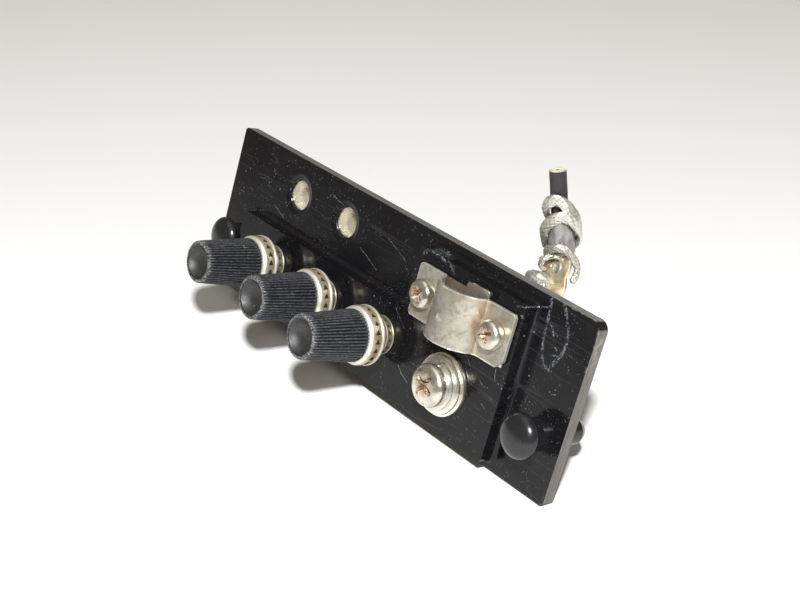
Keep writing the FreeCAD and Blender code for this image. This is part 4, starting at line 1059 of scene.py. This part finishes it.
# ------------------------------------------------------------------ saddle clamp
def make_strap():
    node = "clamp_saddle"
    lo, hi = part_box(node)
    cx = (lo.x + hi.x) / 2 / MM
    z0, z1 = lo.z / MM, hi.z / MM
    base = 5.8          # underside of the feet, measured out from y = 0
    th = 0.6
    R = 5.8 - th / 2    # centre line of the sheet
    mid = 2.4 + 3.2
    foot = base + th / 2
    # centre line from left to right as (x, out)
    line = []
    a_l, a_r = math.radians(171), math.radians(12)
    for x in [lo.x / MM, lo.x / MM + 0.6, lo.x / MM + 1.5, cx - R - 3.2, cx - R - 2.0, cx - R - 1.2]:
        line.append((x, foot))
    line += [(cx - R - 0.72, foot + 0.04), (cx - R - 0.36, foot + 0.2), (cx - R - 0.12, foot + 0.52)]
    steps = 26
    for k in range(steps + 1):
        a = a_l + (a_r - a_l) * k / steps
        yy = mid + R * math.sin(a)
        if yy > foot + 0.7 or a < PI / 2:
            line.append((cx + R * math.cos(a), yy))
    last = line[-1]
    line += [(cx + R + 0.10, foot + 0.62), (cx + R + 0.32, foot + 0.26), (cx + R + 0.72, foot + 0.07),
             (cx + R + 1.3, foot), (cx + R + 2.4, foot), (cx + R + 3.6, foot)]
    for x in [hi.x / MM - 1.4, hi.x / MM - 0.5, hi.x / MM]:
        line.append((x, foot))
    nz = 22
    cols = []
    m = len(line)
    for j, (x, o_) in enumerate(line):
        p, q = line[max(j - 1, 0)], line[min(j + 1, m - 1)]
        tx, to = q[0] - p[0], q[1] - p[1]
        L = math.hypot(tx, to) or 1.0
        cols.append((x, o_, -to / L, tx / L))
    verts, edge = [], []
    for side in (1, -1):
        for i in range(nz + 1):
            f = i / nz
            z = z0 + (z1 - z0) * f
            for j, (x, o_, nx, no) in enumerate(cols):
                px, po, pz = x + nx * th / 2 * side, o_ + no * th / 2 * side, z
                # pressed dimple near the crown
                dx, dz = px - (cx - 0.15), pz - 6.75
                d = math.hypot(dx, dz)
                if po > mid + 3 and side == 1:
                    po += 0.42 * math.exp(-(d / 0.55) ** 2)
                    po -= 0.05 * math.exp(-((d - 1.2) / 0.5) ** 2)
                # slight unevenness of bent sheet
                w = noise.noise(Vector((x * 0.16, z * 0.2, 3.3))) * 0.07
                if po > foot + 0.8:
                    po += w
                # clipped lower corner of the right foot and eased corners
                cornr = (hi.x / MM - px) + (pz - z0)
                if cornr < 1.5 and px > cx:
                    s_ = (1.5 - cornr) / 2
                    px -= s_
                    pz += s_
                for ex, ez in ((lo.x / MM, z0), (lo.x / MM, z1), (hi.x / MM, z1)):
                    cc = abs(px - ex) + abs(pz - ez)
                    if cc < 0.5:
                        s_ = (0.5 - cc) / 2
                        px += s_ * (1 if ex < cx else -1)
                        pz += s_ * (1 if ez == z0 else -1)
                verts.append(Vector((px * MM, -po * MM, pz * MM)))
                # mask for the painted highlight: rims, the two ends and the dimple crown
                rim_z = min(abs(z - z0), abs(z1 - z))
                e = 1.0 if rim_z < 0.01 else 0.0
                if j == 0 or j == m - 1:
                    e = max(e, 0.8)
                e = max(e, 0.9 * math.exp(-(d / 0.5) ** 2) if (po > mid + 3 and side == 1) else 0)
                edge.append(e)
    faces = []
    per = m
    blk = (nz + 1) * per
    for i in range(nz):
        for j in range(per - 1):
            a = i * per + j
            faces.append((a, a + 1, a + per + 1, a + per))
            faces.append((blk + a + per, blk + a + per + 1, blk + a + 1, blk + a))
    for j in range(per - 1):
        faces.append((j + 1, j, blk + j, blk + j + 1))
        a = nz * per + j
        faces.append((a, a + 1, blk + a + 1, blk + a))
    for i in range(nz):
        a = i * per
        faces.append((a, a + per, blk + a + per, blk + a))
        b = a + per - 1
        faces.append((b + per, b, blk + b, blk + b + per))
    o = obj_from("clamp_strap_sheet", verts, faces, M["strap"], {"edge": edge})
    add_bevel(o, 0.13, 2, 50)
    bake_mods(o)
    shade(o, 40)
    return done(o, "clamp_strap", "strap_metal", node)


def make_contact():
    node = "clamp_contact_plate"
    lo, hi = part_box(node)
    y0, y1 = hi.y, lo.y
    x0, x1, z0, zt = lo.x / MM, hi.x / MM, lo.z / MM, hi.z / MM
    zp = 11.75
    ta, tb = 24.85, 30.65
    # outline with the tongue: ragged left end and a turned-up right corner
    pts = [(x0, z0), (x1, z0), (x1, zp), (tb, zp), (tb, zt - 0.45), (tb - 0.35, zt - 0.05), (tb - 1.2, zt), (tb - 2.6, zt - 0.12),
           (ta + 1.5, zt - 0.02), (ta + 0.9, zt - 0.3), (ta + 0.35, zt - 0.22), (ta, zt - 0.75), (ta, zp), (x0, zp)]
    rings = [[Vector((x * MM, y, z * MM)) for x, z in pts] for y in (y0, y1)]
    verts = rings[0] + rings[1]
    n = len(pts)
    faces = [tuple(range(n)), tuple(reversed(range(n, 2 * n)))] + [(k, (k + 1) % n, n + (k + 1) % n, n + k) for k in range(n)]
    o = obj_from("clamp_contact_sheet", verts, faces, M["contact"], smooth=False)
    add_bevel(o, 0.1, 2, 40)
    bake_mods(o)
    # top edge: mask for the painted highlight
    set_attr(o, "edge", lambda p: 1.0 if (p.z > (zt - 0.22) * MM) else 0.0)
    shade(o, 40)
    return done(o, "board", "strap_metal", node)


make_strap()
make_contact()


# ------------------------------------------------------------------ aerial lead stub, braid and lug
S_LOW, S_HIGH = Vector((31.05, 9.2, 19.75)), Vector((28.0, 4.6, 35.25))
AX = (S_HIGH - S_LOW)
TOTAL = AX.length
AX.normalize()
CAM_R = Vector((0.61846, -0.38804, 0.68332))  # placeholder, not used
cam_right = Vector((0.61846, 0.74275, 0.25656))
cam_back = Vector((0.68332, -0.66955, 0.29116))
E1 = (cam_right - AX * cam_right.dot(AX)).normalized()
E2 = (cam_back - AX * cam_back.dot(AX) - E1 * cam_back.dot(E1)).normalized()


def on_stub(s, phi=0.0, rho=0.0):
    a = math.radians(phi)
    return S_LOW + AX * s + E1 * (rho * math.cos(a)) + E2 * (rho * math.sin(a))


def tube_along(pts, radius_fn, seg, closed_ends=True, up=None):
    # swept tube through points (mm); radius_fn(index share, angle) -> (offset along side, offset along normal)
    n = len(pts)
    rings = []
    prev = None
    for k in range(n):
        t = (pts[min(k + 1, n - 1)] - pts[max(k - 1, 0)]).normalized()
        ref = up(k) if up else (prev if prev is not None else (Vector((0, 0, 1)) if abs(t.z) < 0.9 else Vector((1, 0, 0))))
        nn = (ref - t * ref.dot(t)).normalized()
        prev = nn
        bb = t.cross(nn)
        ring = []
        for j in range(seg):
            a = TAU * j / seg
            u, w = radius_fn(k / (n - 1), a, k)
            ring.append((pts[k] + bb * u + nn * w) * MM)
        rings.append(ring)
    return rings


def spline(ctrl, per=10):
    out = []
    n = len(ctrl)
    for i in range(n - 1):
        p0, p1, p2, p3 = ctrl[max(i - 1, 0)], ctrl[i], ctrl[i + 1], ctrl[min(i + 2, n - 1)]
        for k in range(per):
            t = k / per
            out.append(0.5 * ((2 * p1) + (p2 - p0) * t + (2 * p0 - 5 * p1 + 4 * p2 - p3) * t * t + (3 * p1 - p0 - 3 * p2 + p3) * t ** 3))
    out.append(ctrl[-1])
    return out


def make_jacket():
    pts = [on_stub(6.0 + (TOTAL - 6.25) * k / 40) for k in range(41)]
    def rad(u, a, k):
        r = 1.53 + 0.03 * noise.noise(Vector((math.cos(a), math.sin(a), u * 6)))
        return r * math.cos(a), r * math.sin(a)
    rings = tube_along(pts, rad, 40)
    end = pts[-1]
    # cut end: the edge is slightly rounded and uneven
    def cap_ring(r, dz):
        t = AX
        nn = (Vector((0, 0, 1)) - t * t.z).normalized()
        bb = t.cross(nn)
        return [(end + t * (dz + 0.06 * math.sin(3 * TAU * j / 40)) + bb * (r * math.cos(TAU * j / 40)) + nn * (r * math.sin(TAU * j / 40))) * MM
                for j in range(40)]
    rings[-1] = [p - AX * 0.12 * MM for p in rings[-1]]
    rings += [cap_ring(1.46, -0.03), cap_ring(1.3, 0.0), cap_ring(0.98, -0.02), cap_ring(0.93, -0.3)]
    verts, faces = rings_mesh(rings, "fan", "fan")
    cut_from = (len(rings) - 5) * 40
    idx = [1 if all(q >= cut_from for q in fc) else 0 for fc in faces]
    o = obj_from("lead_jacket", verts, faces, [M["jacket"], M["core"]], mat_index=idx)
    shade(o, 40)
    return done(o, "board", "lead_jacket", "coax_jacket")


def make_core():
    top = [on_stub(TOTAL - 1.0 + 0.6 * k / 3) for k in range(4)]
    rings = tube_along(top, lambda u, a, k: ((0.95 - 0.08 * (k == 3)) * math.cos(a), (0.95 - 0.08 * (k == 3)) * math.sin(a)), 28)
    rings.append([p + AX * 0.04 * MM for p in tube_along([on_stub(TOTAL - 0.39), on_stub(TOTAL - 0.37)], lambda u, a, k: (0.7 * math.cos(a), 0.7 * math.sin(a)), 28)[1]])
    v, f = rings_mesh(rings, "fan", "fan")
    o = obj_from("lead_core_end", v, f, M["core"])
    shade(o, 50)
    done(o, "board", "lead_core", "coax_core")
    top = [on_stub(TOTAL - 0.85 + 0.55 * k / 3) for k in range(4)]
    v, f = rings_mesh(tube_along(top, lambda u, a, k: (0.3 * math.cos(a), 0.3 * math.sin(a)), 16), "fan", "fan")
    w = obj_from("lead_copper_end", v, f, M["copper"])
    done(w, "board", "lead_core")
    # bared dielectric and wire at the splice
    low = [on_stub(s) for s in (2.2, 1.4, 0.7, 0.2, -0.05)]
    v, f = rings_mesh(tube_along(low, lambda u, a, k: ((0.88 - 0.25 * (k == 4)) * math.cos(a), (0.88 - 0.25 * (k == 4)) * math.sin(a)), 24), "fan", "fan")
    d = obj_from("lead_dielectric_low", v, f, M["core"])
    done(d, "board", "lead_core")
    wire = spline([on_stub(0.3), on_stub(-0.5), Vector((30.9, 8.2, 17.6)), Vector((30.6, 6.9, 16.0)), Vector((30.4, 6.0, 15.0))], 8)
    v, f = rings_mesh(tube_along(wire, lambda u, a, k: (0.36 * math.cos(a), 0.36 * math.sin(a)), 12), "fan", "fan")
    w = obj_from("lead_bared_wire", v, f, M["copper"])
    done(w, "board", "lead_core")


def make_sleeve():
    pts = [on_stub(0.9 + 7.1 * k / 48) for k in range(49)]
    def rad(u, a, k):
        r = 2.38 + 0.10 * noise.noise(Vector((math.cos(a) * 1.2, math.sin(a) * 1.2, u * 3.0))) + 0.045 * math.sin(a * 9 + u * 4)
        if u < 0.06:
            r -= (0.06 - u) * 6
        if u > 0.9:
            r -= (u - 0.9) * 4.5
        return r * math.cos(a), r * math.sin(a)
    v, f = rings_mesh(tube_along(pts, rad, 64), "fan", "fan")
    o = obj_from("lead_sleeve", v, f, M["sleeve"])
    shade(o, 60)
    return done(o, "board", "grey_foil", "coax_sleeve")


def braid_strip(name, ctrl, width, thick, outward, per=16, seg=48, twist=0.0):
    # a flattened plaited strap: an oval section whose skin carries crossing wires
    pts = spline(ctrl, per)
    n = len(pts)
    dist = [0.0]
    for a, b in zip(pts[:-1], pts[1:]):
        dist.append(dist[-1] + (b - a).length)
    low = []
    rings = []
    for k in range(n):
        t = (pts[min(k + 1, n - 1)] - pts[max(k - 1, 0)]).normalized()
        out = outward(pts[k])
        nn = (out - t * out.dot(t)).normalized()
        bb = t.cross(nn)
        s = dist[k]
        w = width(s / dist[-1]) * (1 + 0.10 * noise.noise(Vector((s * 0.9, 2.2, 7.7))))
        h = thick * (1 + 0.12 * noise.noise(Vector((s * 1.1, 9.2, 1.7))))
        lean = 0.35 * noise.noise(Vector((s * 0.35, 4.4, 0.6)))
        cl, sl = math.cos(lean), math.sin(lean)
        b2, n2 = bb * cl + nn * sl, nn * cl - bb * sl
        taper = min(1.0, min(s, dist[-1] - s) / 0.5 + 0.35)
        ring = []
        for j in range(seg):
            a = TAU * j / seg
            ca, sa = math.cos(a), math.sin(a)
            u = math.copysign(abs(ca) ** 0.8, ca) * w / 2
            v = math.copysign(abs(sa) ** 0.8, sa) * h / 2
            p1 = math.sin(8 * a + s * 4.6)
            p2 = math.sin(5 * a - s * 7.5) * 0.55
            relief = 0.075 * max(p1, p2)
            ring.append((pts[k] + (b2 * u + n2 * v) * taper + (b2 * ca + n2 * sa) * relief) * MM)
            # mask for the painted shade between the wires
            low.append(max(0.0, 0.1 - max(p1, p2)) / 0.9)
        rings.append(ring)
    v, f = rings_mesh(rings, "fan", "fan")
    low += [0.3, 0.3]
    o = obj_from(name, v, f, M["braid"], {"deep": low})
    shade(o, 70)
    return o


def from_axis(p):
    d = p - S_LOW
    d = d - AX * d.dot(AX)
    return d.normalized()


TURNS = [(7.7, 215, 2.3), (9.2, 176, 2.6), (10.7, 145, 2.55), (11.4, 112, 2.45), (10.7, 79, 2.5), (9.3, 55, 2.9),
         (7.4, 30, 3.25), (4.9, -10, 3.4), (2.8, -34, 3.2), (1.7, -70, 2.9), (2.1, -130, 2.85), (3.4, -160, 3.1),
         (5.0, -184, 3.15), (6.4, -205, 3.0), (7.7, -233, 2.85), (8.4, -266, 2.85), (8.0, -296, 3.1), (6.6, -319, 3.35),
         (4.0, -368, 3.4), (2.2, -392, 3.1), (0.6, -440, 2.9), (0.4, -500, 2.8), (1.4, -546, 2.8), (2.3, -570, 2.8),
         (2.8, -611, 2.75), (2.3, -641, 2.85), (0.8, -662, 3.1), (-1.0, -676, 3.3), (-2.6, -668, 3.3), (-3.6, -650, 3.3)]


def make_braid():
    ctrl = [on_stub(s, phi, rho) for s, phi, rho in TURNS]
    o = braid_strip("braid_wrap", ctrl, lambda u: 2.0 - 0.75 * max(0.0, (u - 0.55) / 0.45), 0.8, from_axis)
    done(o, "board", "tinned_braid", "braid_pigtail")
    # inner turn through the lug's eye
    c = Vector((30.75, 7.15, 18.75))
    ring = []
    for k in range(15):
        a = math.radians(-50 + 290 * k / 14)
        ring.append(c + E1 * (1.95 * math.cos(a)) + Vector((0, -0.35, 0.93)).normalized() * (1.35 * math.sin(a))
                    + cam_back * (0.35 * math.sin(a * 0.5 + 0.6) + 0.1))
    o2 = braid_strip("braid_eye_turn", ring, lambda u: 0.95, 0.7, lambda p: (p - c).normalized(), per=8)
    done(o2, "board", "tinned_braid")
    # loose wires teased out of the plait
    for k, pts in enumerate(([on_stub(0.9, -560, 2.9), on_stub(0.6, -540, 3.5), on_stub(0.1, -530, 4.1)],
                             [on_stub(8.8, 178, 2.6), on_stub(9.6, 176, 3.1), on_stub(10.0, 168, 3.0)],
                             [on_stub(1.6, -600, 3.1), on_stub(0.9, -575, 3.6), on_stub(1.3, -560, 3.9)])):
        sp = spline(pts, 8)
        v, f = rings_mesh(tube_along(sp, lambda u, a, q: (0.085 * math.cos(a), 0.085 * math.sin(a)), 8), "fan", "fan")
        w = obj_from("braid_wire_%d" % (k + 1), v, f, M["braid"])
        done(w, "board", "tinned_braid")


def make_lug():
    # bent sheet: ring under the nut, strip cranked out past the board's top edge, round pad
    node = "pigtail_lug"
    t = 0.8
    x0 = 34.55
    path = spline([Vector((x0, 0.0, 6.95)), Vector((x0, 0.0, 8.2)), Vector((x0, 0.12, 9.3)), Vector((x0, 0.9, 10.5)),
                   Vector((x0, 3.8, 12.7)), Vector((x0 - 0.2, 6.1, 14.5)), Vector((x0 - 0.8, 7.0, 15.8)), Vector((x0 - 1.7, 7.4, 17.0)),
                   Vector((x0 - 2.6, 7.6, 18.0))], 6)
    n = len(path)
    rings = []
    for k, p in enumerate(path):
        d = (path[min(k + 1, n - 1)] - path[max(k - 1, 0)]).normalized()
        nn = Vector((0, -d.z, d.y)).normalized()
        w = 1.5 + 0.95 * max(0.0, (k / n) - 0.55) / 0.45
        sec = []
        for u, q in ((-1, -0.5), (-0.93, -0.62), (0.93, -0.62), (1, -0.5), (1, 0.5), (0.93, 0.62), (-0.93, 0.62), (-1, 0.5)):
            sec.append((p + Vector((u * w, 0, 0)) + nn * (q * t / 1.24)) * MM)
        rings.append(sec)
    v, f = rings_mesh(rings, "fan", "fan")
    o = obj_from("aerial_lug_strip", v, f, [M["lug"]])
    shade(o, 40)
    done(o, "board", "brass", node)
    # ring clamped by the nut
    prof = [(1.56, 0.0), (3.45, 0.0), (3.58, 0.1), (3.58, 0.7), (3.45, 0.8), (1.56, 0.8)]
    rr = lathe_rings([(r, h - 0.4) for r, h in prof], x0 * MM, 0.0, 6.95 * MM, 64)
    v, f = rings_mesh(rr, loop=True)
    r = obj_from("aerial_lug_ring", v, f, [M["lug"]])
    shade(r, 40)
    done(r, "board", "brass")
    # pad with its eye
    c = Vector((31.95, 7.62, 18.3))
    nn = Vector((0.12, 0.94, -0.32)).normalized()
    e1 = nn.cross(Vector((0, 0, 1))).normalized()
    e2 = nn.cross(e1)
    secs = []
    for rad, off in ((1.15, -0.2), (1.27, -0.36), (2.95, -0.4), (3.15, -0.28), (3.15, 0.28), (2.95, 0.4), (1.27, 0.36), (1.15, 0.2)):
        secs.append([(c + nn * off + (e1 * math.cos(TAU * k / 56) + e2 * math.sin(TAU * k / 56)) * rad) * MM for k in range(56)])
    v, f = rings_mesh(secs, loop=True)
    pad = obj_from("aerial_lug_pad", v, f, [M["lug"]])
    shade(pad, 40)
    done(pad, "board", "brass")
    # the eye is flooded with dull solder, dished in the middle
    secs = []
    for rad, off in ((1.3, 0.1), (1.3, -0.18), (1.15, -0.36), (0.85, -0.42), (0.5, -0.25), (0.2, -0.12)):
        secs.append([(c + nn * (off + 0.07 * noise.noise(Vector((math.cos(TAU * k / 32) * 2, math.sin(TAU * k / 32) * 2, rad * 2))))
                      + (e1 * math.cos(TAU * k / 32) + e2 * math.sin(TAU * k / 32)) * rad) * MM for k in range(32)])
    v, f = rings_mesh(secs, "fan", "fan")
    fill = obj_from("aerial_lug_solder", v, f, [M["solder"]])
    shade(fill, 60)
    done(fill, "board", "solder")


def make_solder():
    c = Vector((30.4, 5.9, 14.6))
    bm = bmesh.new()
    bmesh.ops.create_icosphere(bm, subdivisions=5, radius=1.0)
    for vtx in bm.verts:
        p = vtx.co.copy()
        f = 1 + 0.16 * noise.noise(p * 1.3 + Vector((4, 1, 2))) + 0.07 * noise.noise(p * 3.4) + 0.03 * noise.noise(p * 8)
        q = Vector((p.x * 3.0, p.y * 2.05, p.z * 2.35)) * f
        q.z -= 0.10 * q.x
        vtx.co = (c + q) * MM
    me = bpy.data.meshes.new("solder_lump")
    bm.to_mesh(me)
    bm.free()
    me.materials.append(M["solder"])
    o = bpy.data.objects.new("solder_lump", me)
    bpy.context.scene.collection.objects.link(o)
    shade(o, 80)
    done(o, "board", "solder", "solder_joint")


make_jacket()
make_core()
make_sleeve()
make_braid()
make_lug()
make_solder()


# ------------------------------------------------------------------ CAD nodes kept, with detailed materials
def dress(node, mat, bevel=None, angle=38.0):
    o = NODES[node]
    o.data.materials.clear()
    o.data.materials.append(mat)
    if bevel:
        add_bevel(o, bevel, 2, 45)
    return o


dress("terminal_board", M["board"], 0.22)
for i in (1, 2, 3):
    dress("post_%d_solder_lug" % i, M["lug"], 0.08)
    dress("post_%d_lock_washer" % i, M["steel"], 0.1)
dress("earth_solder_lug", M["lug"], 0.08)
dress("clamp_rear_washer", M["steel"], 0.1)
for side in ("left", "right"):
    dress("rivet_%s_grommet" % side, M["rivet"], 0.12)

# ------------------------------------------------------------------ stage, light, camera
UP = Vector((0, -0.3266, 0.9452)).normalized()
P0 = Vector((0, 0, -0.0167))


def stage_floor():
    ex = Vector((1, 0, 0))
    ey = UP.cross(ex).normalized()
    s = 3.0
    verts = [P0 - UP * 0.00005 + ex * (a * s) + ey * (b * s) for a, b in ((-1, -1), (1, -1), (1, 1), (-1, 1))]
    me = bpy.data.meshes.new("floor")
    me.from_pydata([tuple(v) for v in verts], [], [(0, 1, 2, 3)])
    o = bpy.data.objects.new("floor", me)
    bpy.context.scene.collection.objects.link(o)
    if o.data.polygons[0].normal.dot(UP) < 0:
        o.data.flip_normals()
    g = G("floor_paper")
    col = g.mix(g.noise(3.0, 3.0), (0.80, 0.797, 0.79), (0.83, 0.828, 0.822))
    # painted light: the floor is lightened with distance from the origin, offsetting the key lamp's falloff
    fx = g.xyz()
    far = g.m("SQRT", g.m("ADD", g.m("MULTIPLY", fx[0], fx[0]), g.m("MULTIPLY", fx[1], fx[1])))
    col = g.mix(g.mr(far, 0.06, 0.34), col, (0.97, 0.97, 0.965))
    g.set(color=col, rough=0.9, spec=0.1, normal=g.bump(g.noise(900.0, 3.0), 0.05, 0.0001))
    geo = g.nt.nodes.new("ShaderNodeNewGeometry")
    clear = g.nt.nodes.new("ShaderNodeBsdfTransparent")
    mixs = g.nt.nodes.new("ShaderNodeMixShader")
    g.nt.links.new(geo.outputs["Backfacing"], mixs.inputs[0])
    g.nt.links.new(g.b.outputs[0], mixs.inputs[1])
    g.nt.links.new(clear.outputs[0], mixs.inputs[2])
    g.nt.links.new(mixs.outputs[0], g.out.inputs["Surface"])
    o.data.materials.append(g.mat)
    return o


stage_floor()

world = bpy.data.worlds.new("studio")
bpy.context.scene.world = world
world.use_nodes = True
wt = world.node_tree
wt.nodes.clear()
wo = wt.nodes.new("ShaderNodeOutputWorld")
wb = wt.nodes.new("ShaderNodeBackground")
wb.inputs["Color"].default_value = (1.0, 0.89, 0.74, 1.0)
wb.inputs["Strength"].default_value = 0.24
wt.links.new(wb.outputs[0], wo.inputs[0])


def area(name, loc, target, size, energy, color=(1, 1, 1)):
    li = bpy.data.lights.new(name, "AREA")
    li.shape = "DISK"
    li.size = size
    li.energy = energy
    li.color = color
    o = bpy.data.objects.new(name, li)
    bpy.context.scene.collection.objects.link(o)
    o.location = loc
    o.rotation_mode = "QUATERNION"
    o.rotation_quaternion = (Vector(target) - Vector(loc)).to_track_quat("-Z", "Y")
    return o


area("key", (0.236, -0.277, 0.2445), (0.0, 0.0, 0.0), 0.034, 3.2, (0.975, 0.99, 1.0))
area("top_soft", tuple(P0 + UP * 0.62 + Vector((-0.1, -0.1, 0))), (0, 0, 0), 0.5, 0.5, (0.98, 0.99, 1.0))

cam_data = bpy.data.cameras.new("camera")
cam = bpy.data.objects.new("camera", cam_data)
bpy.context.scene.collection.objects.link(cam)
cols = ((0.61846, 0.74275, 0.25656), (-0.38804, 0.00476, 0.92163), (0.68332, -0.66955, 0.29116))
mat = Matrix(((cols[0][0], cols[1][0], cols[2][0], 0.18356), (cols[0][1], cols[1][1], cols[2][1], -0.17599),
              (cols[0][2], cols[1][2], cols[2][2], 0.07699), (0, 0, 0, 1)))
cam.matrix_world = mat
cam_data.sensor_width = 36.0
cam_data.lens = 62.46
cam_data.clip_start = 0.005
cam_data.clip_end = 20.0
bpy.context.scene.camera = cam
bpy.context.scene.view_settings.view_transform = "Standard"
